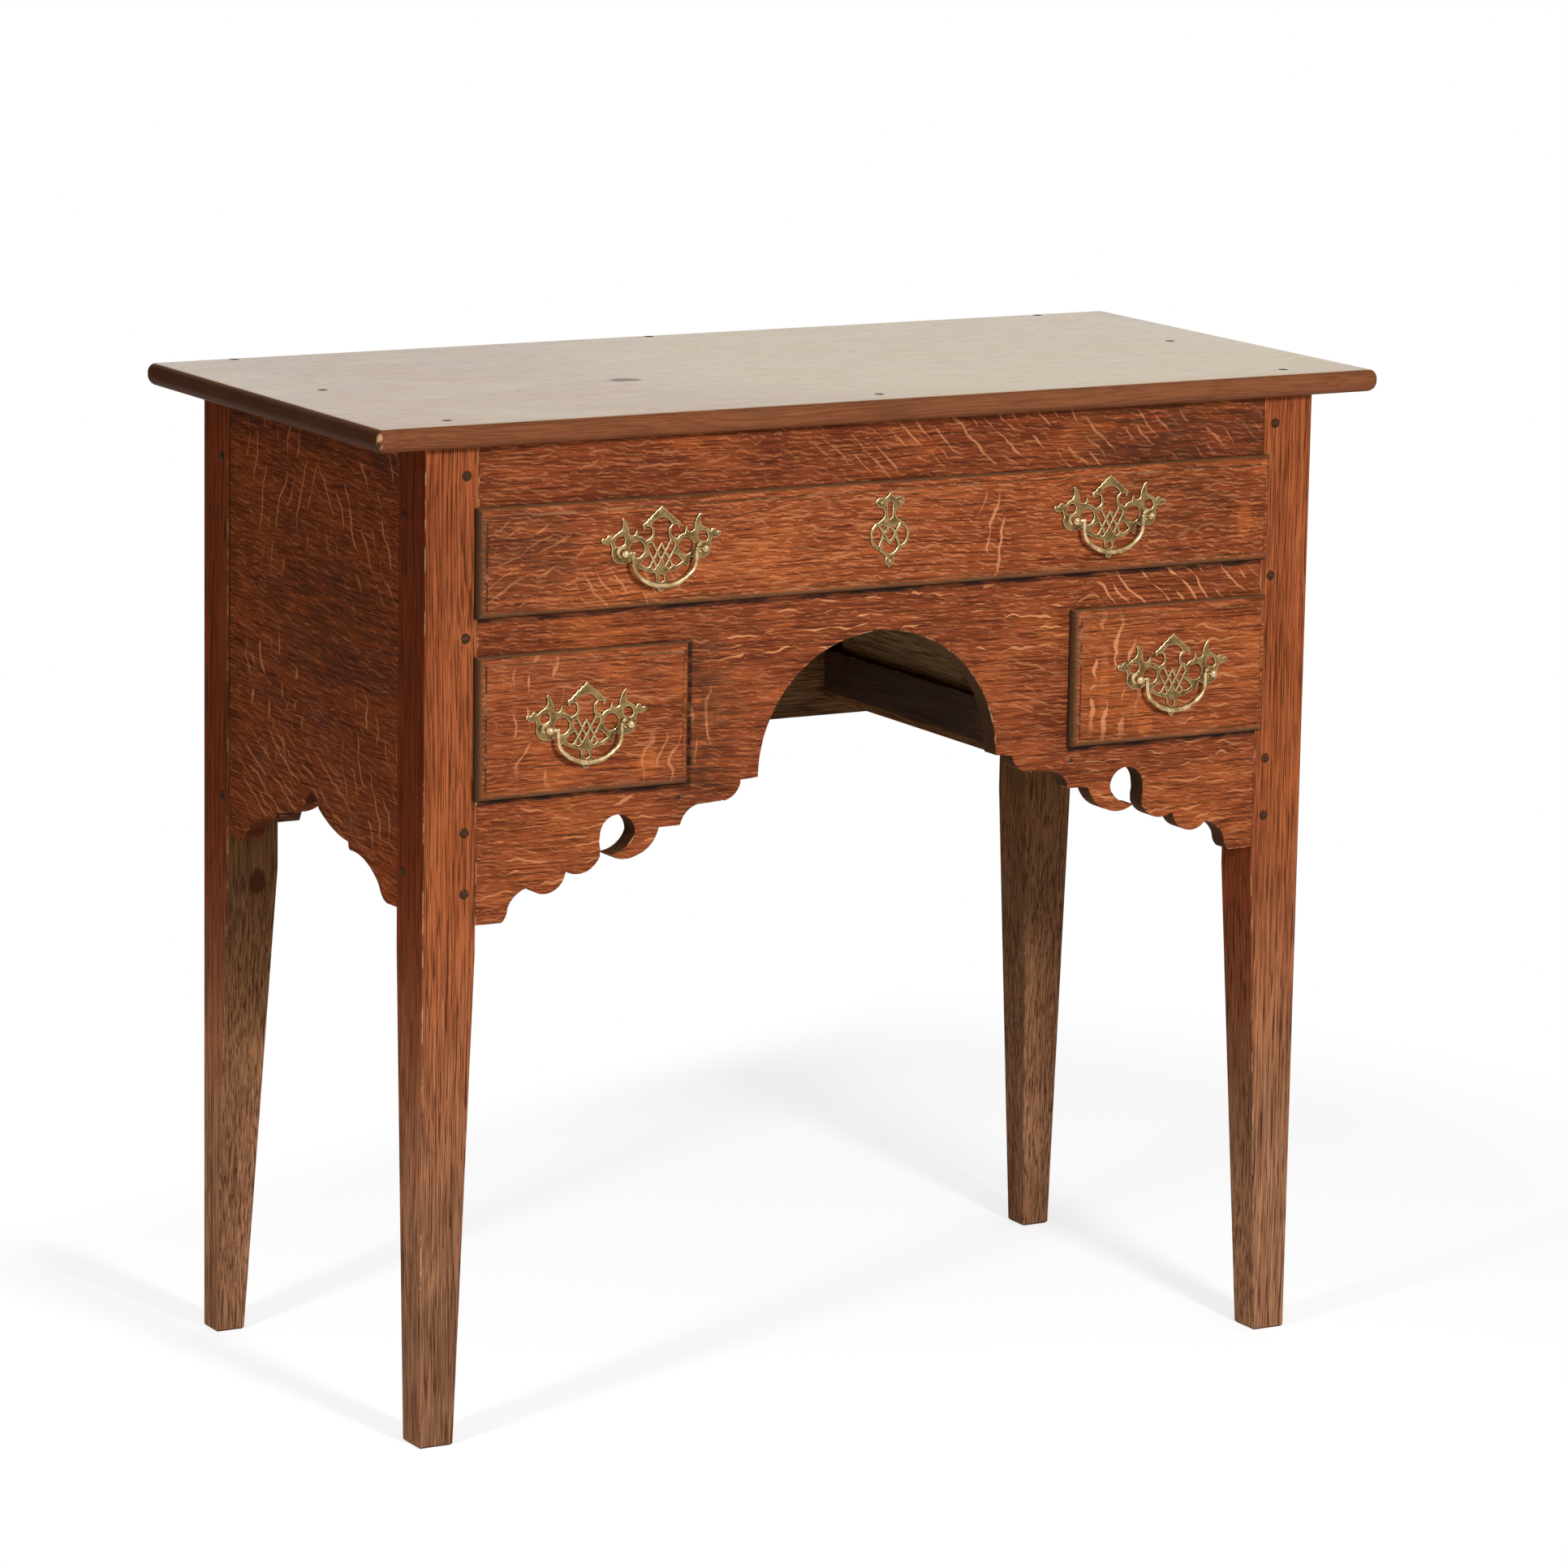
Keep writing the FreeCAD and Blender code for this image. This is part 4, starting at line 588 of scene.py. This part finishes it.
def place_piece(shape, node, material, smooth=BOARD_SMOOTH):
    """Makes the finished shape a piece that stands for a node and rides on its body."""
    source = frame["nodes"][node]
    piece = made_object(shape, node + "_look", material)
    piece.data.shade_smooth()
    piece.data.set_sharp_from_angle(angle=math.radians(smooth))
    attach(piece, source["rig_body"])
    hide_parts(node)
    return piece


def shift(piece, box, dx=0.0, dz=0.0):
    """Moves the corners of a finished piece that lie in a box: left, right, low and high."""
    left, right, low, high = (part * MM for part in box)
    for corner in piece.data.vertices:
        if left < corner.co.x < right and low < corner.co.z < high:
            corner.co += Vector((dx * MM, 0, dz * MM))


def rounded_piece(node, material, width, shortest, whole=True):
    shape = joined_copy(node, whole)
    round_edges(shape, width, shortest)
    return place_piece(shape, node, material)


def cast_piece(node, material):
    """A piece whose edges stay as they are, shaded round."""
    place_piece(joined_copy(node), node, material, CAST_SMOOTH)


def paint(node, material):
    """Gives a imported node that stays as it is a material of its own."""
    mesh = frame["nodes"][node].data
    mesh.materials.clear()
    mesh.materials.append(material)


def oak_board(node, grain, seed, **finish):
    look = bpy.context.scene.lowboy_oak
    material = oak(node + "_oak", grain, seed=seed, **finish)
    return rounded_piece(node, material, look.arris, BOARD_EDGE)


# Ray flecks as their turn, spacing, wander, reach, length, breadth, cover and seed. The
# small ones lie along the grain everywhere; the rest show in patches.
def small_flecks(seed, strength=0.3):
    return strength, (), (-8, 3.4, 1.6, 9, 11, 0.8, 0.8, seed)


def slanted(seed, ovals, turn=-50, strength=0.7, cover=0.7):
    return strength, ovals, (turn, 8, 1.5, 34, 24, 1.05, cover, seed)


def curly(seed, ovals, strength=0.7, cover=0.75):
    return strength, ovals, (0, 7.5, 2.2, 30, 26, 1.0, cover, seed)


def upright(seed, ovals, strength=0.75, cover=0.6, turn=80, breadth=1.5):
    return strength, ovals, (turn, 12, 2.0, 34, 30, breadth, cover, seed)


class LOWBOY_OT_top(Operator):
    """Makes the moulded top board"""

    bl_idname = "lowboy.top"
    bl_label = "Top"

    def execute(self, context):
        look = context.scene.lowboy_oak
        oak_board(
            "top_board", "flat", 3.0, deep=look.top_deep, mid=look.top_mid, bow=30.0,
            rough=(0.3, 0.4), specular=0.06, coat=0.72, coat_rough=0.22, pores=0.2,
            relief_depth=0.12, worn=0.5, soil=0.0, end=0.6, flank=(look.top_edge, 0.95),
            turn=(0.985, 0.93), knots=[(-129, -26, 9)], warm=look.top_pale,
            blotches=[(210, 20, 400, 260, 0.9)], chips=[(-399, -186, 3, 3, 1)],
        )
        return {"FINISHED"}


def worn_foot_painted_light(look, share):
    """A foot's two worn tones at a share of their brightness, and where they are full and end.
    A share above one paints light on the foot, and one below paints shade.
    """
    return scaled(look.foot_deep, share), scaled(look.foot_mid, share), 100, 430


class LOWBOY_OT_legs(Operator):
    """Makes the four posts with their tapering legs"""

    bl_idname = "lowboy.legs"
    bl_label = "Legs"

    def execute(self, context):
        look = context.scene.lowboy_oak
        finish = {"bow": 8.0, "worn": 0.5, "soil": 0.1, "specular": 0.04}
        front = {"deep": look.leg_deep, "mid": look.leg_mid, **finish}
        back = {"deep": look.back_deep, "mid": look.back_mid, **finish}
        # Painted light and shade from leg to leg: the left front foot is painted darker, the right
        # feet lighter, and the sides of the right front and left back legs lighter, the right
        # front's most.
        paler, plain, darker = (worn_foot_painted_light(look, share) for share in (1.2, 1.0, 0.85))
        flank_tone, stain_painted_lighter, stain_painted_lightest = (scaled(look.flank_tint, share) for share in (1.0, 1.3, 2.1))
        oak_board("left_front_leg", "z", 11, flank=(flank_tone, 0.85), foot=darker, **front)
        oak_board("right_front_leg", "z", 12, flank=(stain_painted_lightest, 0.8), foot=paler, **front)
        oak_board(
            "left_back_leg", "z", 13, flank=(stain_painted_lighter, 0.85), foot=plain,
            knots=[(336, -331, 7)], **back,
        )
        oak_board("right_back_leg", "z", 14, foot=paler, **back)
        return {"FINISHED"}


# The outlines of the drawer fronts, as middles and half sizes in millimetres. Painted shadow
# and soiling lie round them on the boards behind, most of all below and to the right.
FRONTS = {
    "long": (0, 613.25, 318, 37.75), "left": (-236.25, 500, 81.75, 49.5),
    "right": (236.25, 500, 81.75, 49.5),
}
SHADOW_AND_DIRT_ASIDE, SHADOW_AND_DIRT_UP, SHADOW_AND_DIRT_REACH = 3.0, -1.8, 3.4
JOINT_SHADOW_AND_DIRT = [
    (along + SHADOW_AND_DIRT_ASIDE, across + SHADOW_AND_DIRT_UP, wide, high, SHADOW_AND_DIRT_REACH)
    for along, across, wide, high in FRONTS.values()
]
LIP = 4.0


def field_of(drawer):
    """The clean part of a drawer front, which reaches nearer to its top and right edges, so that
    the dark band of soiling and painted shade on the lips is widest at the bottom and left.
    """
    along, across, wide, high = FRONTS[drawer]
    return along + LIP * 0.3, across + LIP * 0.35, wide - LIP * 0.7, high - LIP * 0.65


def front_finish(look):
    return {
        "deep": look.front_deep, "mid": look.front_mid, "warm": look.front_warm,
        # The rims take the shaped-edge colour, which is partly painted shade.
        "fleck": look.fleck, "flank": (look.shaped, 0.75),
    }


class LOWBOY_OT_front_boards(Operator):
    """Makes the frieze rail and the shaped apron"""

    bl_idname = "lowboy.front_boards"
    bl_label = "Frieze and apron"

    def execute(self, context):
        look = context.scene.lowboy_oak
        finish = front_finish(look)
        finish.update(deep=look.frieze_deep, mid=look.frieze_mid, joints=JOINT_SHADOW_AND_DIRT)
        oak_board(
            "frieze_rail", "x", 21, **finish, grime=[(250, 672, 110, 40, 0.45)],
            figures=[
                small_flecks(1),
                slanted(1, [(130, 672, 210, 30, 1)], -45, 0.6, 0.7),
                curly(15, [(-220, 672, 120, 20, 1)], 0.35),
            ],
        )
        finish.update(deep=look.apron_deep, mid=look.apron_mid)
        curls = [(20, 545, 210, 34, 1), (-230, 410, 110, 70, 0.7), (230, 410, 110, 70, 0.7)]
        oak_board(
            "front_apron", "x", 22, **finish, blotches=[(-235, 415, 90, 32, 0.3)],
            grime=[(-210, 583, 130, 9, 0.9), (-40, 585, 120, 8, 0.8), (-142, 490, 32, 70, 0.55)],
            figures=[
                small_flecks(2),
                curly(2, curls, 1.0, 0.5),
                slanted(3, [(240, 562, 80, 16, 1)], -45, 1.0, 0.85),
                slanted(16, [(125, 500, 30, 46, 0.6)], -20),
                upright(4, [(-150, 505, 22, 46, 1)], 0.8, 0.85, 100),
            ],
        )
        return {"FINISHED"}


class LOWBOY_OT_side_panels(Operator):
    """Makes the two side panels"""

    bl_idname = "lowboy.side_panels"
    bl_label = "Side panels"

    def execute(self, context):
        look = context.scene.lowboy_oak
        for seed, side in enumerate(("left", "right"), 31):
            oak_board(
                side + "_side_panel", "y", seed, deep=look.panel_deep, mid=look.panel_mid,
                fleck=look.panel_fleck, specular=0.03, worn=0.5, rough=(0.55, 0.7),
                # The band along the top is painted shadow under the top's overhang; the lower patch
                # is soiling.
                grime=[(0, 692, 400, 30, 0.6), (-30, 550, 120, 50, 0.4)],
                figures=[
                    (0.4, (), (10, 5, 1.6, 16, 14, 0.8, 0.8, 1)),
                    (0.85, [(60, 640, 70, 70, 1)], (-78, 16, 2.0, 60, 40, 1.5, 0.75, 2)),
                    (0.85, [(-80, 640, 90, 80, 1)], (60, 15, 1.8, 50, 34, 1.5, 0.65, 3)),
                    (0.9, [(70, 490, 60, 50, 1)], (85, 13, 2.4, 44, 24, 2.4, 0.6, 4)),
                    (0.85, [(-85, 460, 50, 60, 1)], (75, 14, 2.0, 44, 40, 1.4, 0.7, 6)),
                    (0.8, [(40, 425, 110, 45, 1)], (28, 8, 1.6, 34, 22, 1.2, 0.8, 5)),
                ],
            )
        return {"FINISHED"}


class LOWBOY_OT_inside(Operator):
    """Finishes the back board, the runners and the strips above the drawers"""

    bl_idname = "lowboy.inside"
    bl_label = "Back and runners"

    def execute(self, context):
        look = context.scene.lowboy_oak
        plain = {"worn": 0.3, "soil": 0.0, "rough": (0.6, 0.8), "specular": 0.08}
        back = oak_board("back_board", "x", 41, deep=look.behind_deep, mid=look.behind_mid, **plain)
        # The right bracket hides behind its post, and the left one is shorter.
        shift(back, (265, 275, 360, 416), dx=43)
        shift(back, (-275, -265, 360, 416), dx=-13)
        # The runners and the kickers take colours painted dark for the shade inside the case.
        inner = {"deep": look.inner_deep_painted_shade, "mid": look.inner_mid_painted_shade, **plain}
        for seed, node in enumerate((
            "left_long_runner", "right_long_runner", "left_short_outer_runner",
            "right_short_outer_runner", "left_kicker", "right_kicker",
        ), 42):
            oak_board(node, "y", seed, **inner)
        # A pale band along the bottom of the inner runners is a painted highlight.
        inner.update(warm=look.back_mid, blotches=[(0, 432, 2000, 4, 0.8)])
        for seed, node in enumerate(("left_short_inner_runner", "right_short_inner_runner"), 48):
            runner = oak_board(node, "y", seed, **inner)
            shift(runner, (-200, 200, 434, 437), dz=-5.4)
        return {"FINISHED"}


class LOWBOY_OT_drawer_fronts(Operator):
    """Makes the three lipped drawer fronts"""

    bl_idname = "lowboy.drawer_fronts"
    bl_label = "Drawer fronts"

    def execute(self, context):
        finish = front_finish(context.scene.lowboy_oak)
        finish.update(worn=0.3, soil=0.2)
        oak_board(
            "long_drawer_front", "x", 51, **finish, field=field_of("long"),
            blotches=[(295, 605, 7, 15, 1.0), (308, 640, 6, 6, 0.7)],
            grime=[(235, 620, 60, 40, 0.3), (-285, 613, 50, 40, 0.4)],
            figures=[
                small_flecks(7, 0.45),
                curly(7, [(-40, 615, 120, 44, 0.6), (230, 625, 90, 40, 0.5)]),
                slanted(8, [(-285, 612, 50, 40, 1)], 28, 0.6),
                slanted(9, [(-205, 590, 50, 18, 1)], -50, 0.6),
                upright(10, [(84, 608, 14, 36, 1)], 0.8, 0.9, 75),
            ],
        )
        oak_board(
            "left_drawer_front", "x", 52, **finish, field=field_of("left"),
            blotches=[(-188, 468, 10, 10, 0.8), (-212, 535, 16, 9, 0.6)],
            figures=[
                small_flecks(8),
                upright(11, [(-270, 505, 36, 50, 1), (-175, 470, 24, 24, 0.8)]),
                curly(12, [(-215, 505, 60, 50, 0.7)]),
            ],
        )
        oak_board(
            "right_drawer_front", "x", 53, **finish, field=field_of("right"),
            blotches=[(180, 492, 5, 30, 0.9), (215, 470, 8, 18, 0.9)],
            figures=[
                small_flecks(9),
                upright(13, [(185, 500, 28, 50, 1)], 0.9, 0.8, 84, 2.2),
                curly(14, [(250, 500, 70, 55, 0.9)]),
            ],
        )
        return {"FINISHED"}


class LOWBOY_OT_drawer_boxes(Operator):
    """Finishes the sides, backs and bottoms of the drawers"""

    bl_idname = "lowboy.drawer_boxes"
    bl_label = "Drawer boxes"

    def execute(self, context):
        look = context.scene.lowboy_oak
        parts = (("left_side", "y"), ("right_side", "y"), ("back", "x"), ("bottom", "flat"))
        boards = [(drawer, *part) for drawer in ("long", "left", "right") for part in parts]
        for seed, (drawer, part, grain) in enumerate(boards, 61):
            oak_board(
                f"{drawer}_drawer_{part}", grain, seed, deep=look.box_deep, mid=look.box_mid,
                worn=0.3, soil=0.1, rough=(0.55, 0.75), end=0.3,
            )
        return {"FINISHED"}


class LOWBOY_OT_pegs(Operator):
    """Finishes the oak pegs"""

    bl_idname = "lowboy.pegs"
    bl_label = "Pegs"

    def execute(self, context):
        dark = end_grain("peg_end_grain")
        for node in ("front_pegs", "left_side_pegs", "right_side_pegs", "back_pegs", "top_pegs"):
            cast_piece(node, dark)
        return {"FINISHED"}


class LOWBOY_OT_brass(Operator):
    """Makes the pierced plates, the escutcheon, the posts and the bails"""

    bl_idname = "lowboy.brass"
    bl_label = "Brass"

    def execute(self, context):
        look = context.scene.lowboy_brass
        plate = metal("plate_brass", look.brass, look.tarnish, look.bright, (0.28, 0.45))
        cast = metal("cast_brass", look.cast, look.brass, look.bright, (0.18, 0.32), 0.15)
        for hand in HANDLES:
            rounded_piece(hand + "_backplate", plate, look.edge, PLATE_EDGE, whole=False)
            cast_piece(hand + "_bail", cast)
            cast_piece(hand + "_posts", cast)
        rounded_piece("escutcheon", plate, look.edge, PLATE_EDGE, whole=False)
        cast_piece("escutcheon_pins", cast)
        return {"FINISHED"}


class LOWBOY_OT_iron(Operator):
    """Finishes the nuts and the nails"""

    bl_idname = "lowboy.iron"
    bl_label = "Iron"

    def execute(self, context):
        look = context.scene.lowboy_brass
        rusty = scaled(look.iron, 1.8)
        iron = metal("old_iron", look.iron, rusty, rusty, (0.5, 0.7), 0.5, 0.8)
        for hand in HANDLES:
            paint(hand + "_nuts", iron)
        paint("runner_nails", iron)
        return {"FINISHED"}


# ---------------------------------------------------------------- studio


# The places, directions and sizes below are in metres.
KEY_PLACE, KEY_AIM, KEY_SIZE = (0.03, -3.0, 1.7), (0, 0, 0.4), 0.5
LOW_PLACE, LOW_DIRECTION, LOW_SIZE = (-2.03, -0.95, 0.9), (2.13, 1.05, -1.92), 0.12
LOW_SPREAD, LOW_BLEND = math.radians(48), 0.25
# Shadows show on the floor up to the near and far radius round a point. Behind the lowboy they
# end along a slanted line. Their depth is the share of the floor's glow that they take.
SHADOW_MIDDLE, SHADOW_RADII = (0.1, 0.2, 0), (0.6, 0.95)
SHADOW_BEHIND, SHADOW_ENDS = (-0.4, 1, 0), (0.36, 0.5)
SHADOW_DEPTH = 0.72
FLAG_GREY, FLAG_MIDDLE, FLAG_HALF_WIDE, FLAG_HALF_HIGH = 0.02, 1.0, 1.2, 1.4


def make_camera(look):
    azimuth, elevation = look.azimuth, look.elevation
    back = Vector((
        math.sin(azimuth) * math.cos(elevation), -math.cos(azimuth) * math.cos(elevation),
        math.sin(elevation),
    ))
    right = Vector((math.cos(azimuth), math.sin(azimuth), 0))
    up = back.cross(right)
    aim = Vector((0, look.aim_back, look.aim_high))
    eye = aim + right * look.aside + up * look.up + back * look.distance
    turned_right = right * math.cos(look.roll) + up * math.sin(look.roll)
    turned_up = up * math.cos(look.roll) - right * math.sin(look.roll)
    data = bpy.data.cameras.new("camera")
    data.sensor_width = 36
    data.lens = look.focal
    data.clip_start, data.clip_end = 0.1, 100
    camera = in_scene("camera", data)
    turn = Matrix((turned_right, turned_up, back)).transposed().to_4x4()
    camera.matrix_world = Matrix.Translation(eye) @ turn
    bpy.context.scene.camera = camera


def make_lamp(name, kind, watts, place, direction):
    data = bpy.data.lights.new(name, kind)
    data.energy = watts
    lamp = in_scene(name, data)
    lamp.location = place
    lamp.rotation_euler = direction.to_track_quat("-Z", "Y").to_euler()
    return data


def make_lamps(look):
    """The key lamp, and a low one at the left for the light that a floor throws up."""
    direction = Vector(KEY_AIM) - Vector(KEY_PLACE)
    key = make_lamp("key", "AREA", look.key, KEY_PLACE, direction)
    key.shape = "DISK"
    key.size = KEY_SIZE
    low = make_lamp("low", "SPOT", look.low, LOW_PLACE, Vector(LOW_DIRECTION))
    low.shadow_soft_size = LOW_SIZE
    low.spot_size = LOW_SPREAD
    low.spot_blend = LOW_BLEND


def seen_directly(recipe):
    """One for camera, glossy and transmission rays, nothing for the rest."""
    rays = recipe.node("ShaderNodeLightPath").outputs
    return recipe.strongest(
        rays["Is Camera Ray"], rays["Is Glossy Ray"], rays["Is Transmission Ray"]
    )


def make_world(look):
    recipe = Recipe(bpy.data.worlds.new("studio"))
    strength = recipe.between(seen_directly(recipe), 0, 1, look.fill, 1.0)
    sky = recipe.node("ShaderNodeBackground", {"Color": (1, 1, 1), "Strength": strength})
    recipe.node("ShaderNodeOutputWorld", {"Surface": sky.outputs[0]})
    bpy.context.scene.world = recipe.owner


def stage_piece(shape, name, material):
    piece = made_object(shape, name, material)
    return piece


def make_floor(look):
    """A pale floor that takes faint shadows near the lowboy and melts into the backdrop."""
    recipe = new_recipe("floor_white")
    matt = recipe.node("ShaderNodeBsdfDiffuse", {"Color": (look.bounce,) * 3}).outputs[0]
    place = recipe.node("ShaderNodeTexCoord").outputs["Object"]
    place = recipe.vector("SUBTRACT", place, SHADOW_MIDDLE)
    away = recipe.between(recipe.vector("LENGTH", place), *SHADOW_RADII)
    behind = recipe.between(recipe.vector("DOT_PRODUCT", place, SHADOW_BEHIND), *SHADOW_ENDS)
    shade = recipe.times(recipe.rest(recipe.strongest(away, behind)), look.shadow)
    left_over = recipe.rest(recipe.times(shade, SHADOW_DEPTH))
    glow = recipe.node("ShaderNodeEmission", {"Color": (1, 1, 1), "Strength": left_over})
    grey = recipe.node("ShaderNodeCombineColor", {0: shade, 1: shade, 2: shade}).outputs[0]
    taken = recipe.node("ShaderNodeBsdfDiffuse", {"Color": grey})
    pale = recipe.node("ShaderNodeAddShader", {0: glow.outputs[0], 1: taken.outputs[0]}).outputs[0]
    both = recipe.node("ShaderNodeMixShader", {0: seen_directly(recipe), 1: matt, 2: pale})
    shape = bmesh.new()
    bmesh.ops.create_circle(shape, cap_ends=True, segments=96, radius=look.floor)
    stage_piece(shape, "floor", recipe.finish(both.outputs[0]))


def make_flag(look):
    """A dark board out of the picture, which the lowboy's left side would mirror."""
    recipe = new_recipe("flag_black")
    matt = recipe.node("ShaderNodeBsdfDiffuse", {"Color": (FLAG_GREY,) * 3}).outputs[0]
    shape = bmesh.new()
    bmesh.ops.create_grid(shape, x_segments=1, y_segments=1, size=1)
    away = Vector((math.sin(look.azimuth), math.cos(look.azimuth), 0))
    turn = away.to_track_quat("Z", "X").to_matrix().to_4x4()
    place = Matrix.Translation(away * look.flag_away + Vector((0, 0, FLAG_MIDDLE)))
    size = Matrix.Diagonal((FLAG_HALF_WIDE, FLAG_HALF_HIGH, 1, 1))
    bmesh.ops.transform(shape, matrix=place @ turn @ size, verts=shape.verts)
    flag = stage_piece(shape, "flag", recipe.finish(matt))
    flag.visible_camera = False


class LOWBOY_OT_studio(Operator):
    """Makes the camera, the lamps, the sky and the floor"""

    bl_idname = "lowboy.studio"
    bl_label = "Studio"

    def execute(self, context):
        look = context.scene.lowboy_studio
        make_camera(look)
        make_lamps(look)
        make_world(look)
        make_floor(look)
        make_flag(look)
        context.scene.view_settings.view_transform = "Standard"
        return {"FINISHED"}


GROUPS = {"lowboy_oak": OakLook, "lowboy_brass": BrassLook, "lowboy_studio": StudioLook}
OPERATORS = (
    LOWBOY_OT_studio, LOWBOY_OT_top, LOWBOY_OT_legs, LOWBOY_OT_front_boards,
    LOWBOY_OT_side_panels, LOWBOY_OT_inside, LOWBOY_OT_drawer_fronts, LOWBOY_OT_drawer_boxes,
    LOWBOY_OT_pegs, LOWBOY_OT_brass, LOWBOY_OT_iron,
)


class LOWBOY_PT_panel(Panel):
    """Lists the lowboy's pieces in the sidebar"""

    bl_idname = "LOWBOY_PT_panel"
    bl_label = "Lowboy"
    bl_space_type = "VIEW_3D"
    bl_region_type = "UI"
    bl_category = "Lowboy"

    def draw(self, context):
        layout = self.layout
        for operator in OPERATORS:
            layout.operator(operator.bl_idname)
        for name in GROUPS:
            group = getattr(context.scene, name)
            column = layout.column(align=True)
            for setting in group.__annotations__:
                column.prop(group, setting)


CLASSES = (*GROUPS.values(), *OPERATORS, LOWBOY_PT_panel)


def register():
    for kind in CLASSES:
        bpy.utils.register_class(kind)
    for name, group in GROUPS.items():
        setattr(bpy.types.Scene, name, PointerProperty(type=group))


def unregister():
    for name in GROUPS:
        delattr(bpy.types.Scene, name)
    for kind in reversed(CLASSES):
        bpy.utils.unregister_class(kind)


def main():
    register()
    for operator in OPERATORS:
        category, name = operator.bl_idname.split(".")
        getattr(getattr(bpy.ops, category), name)()


if __name__ == "__main__":
    main()
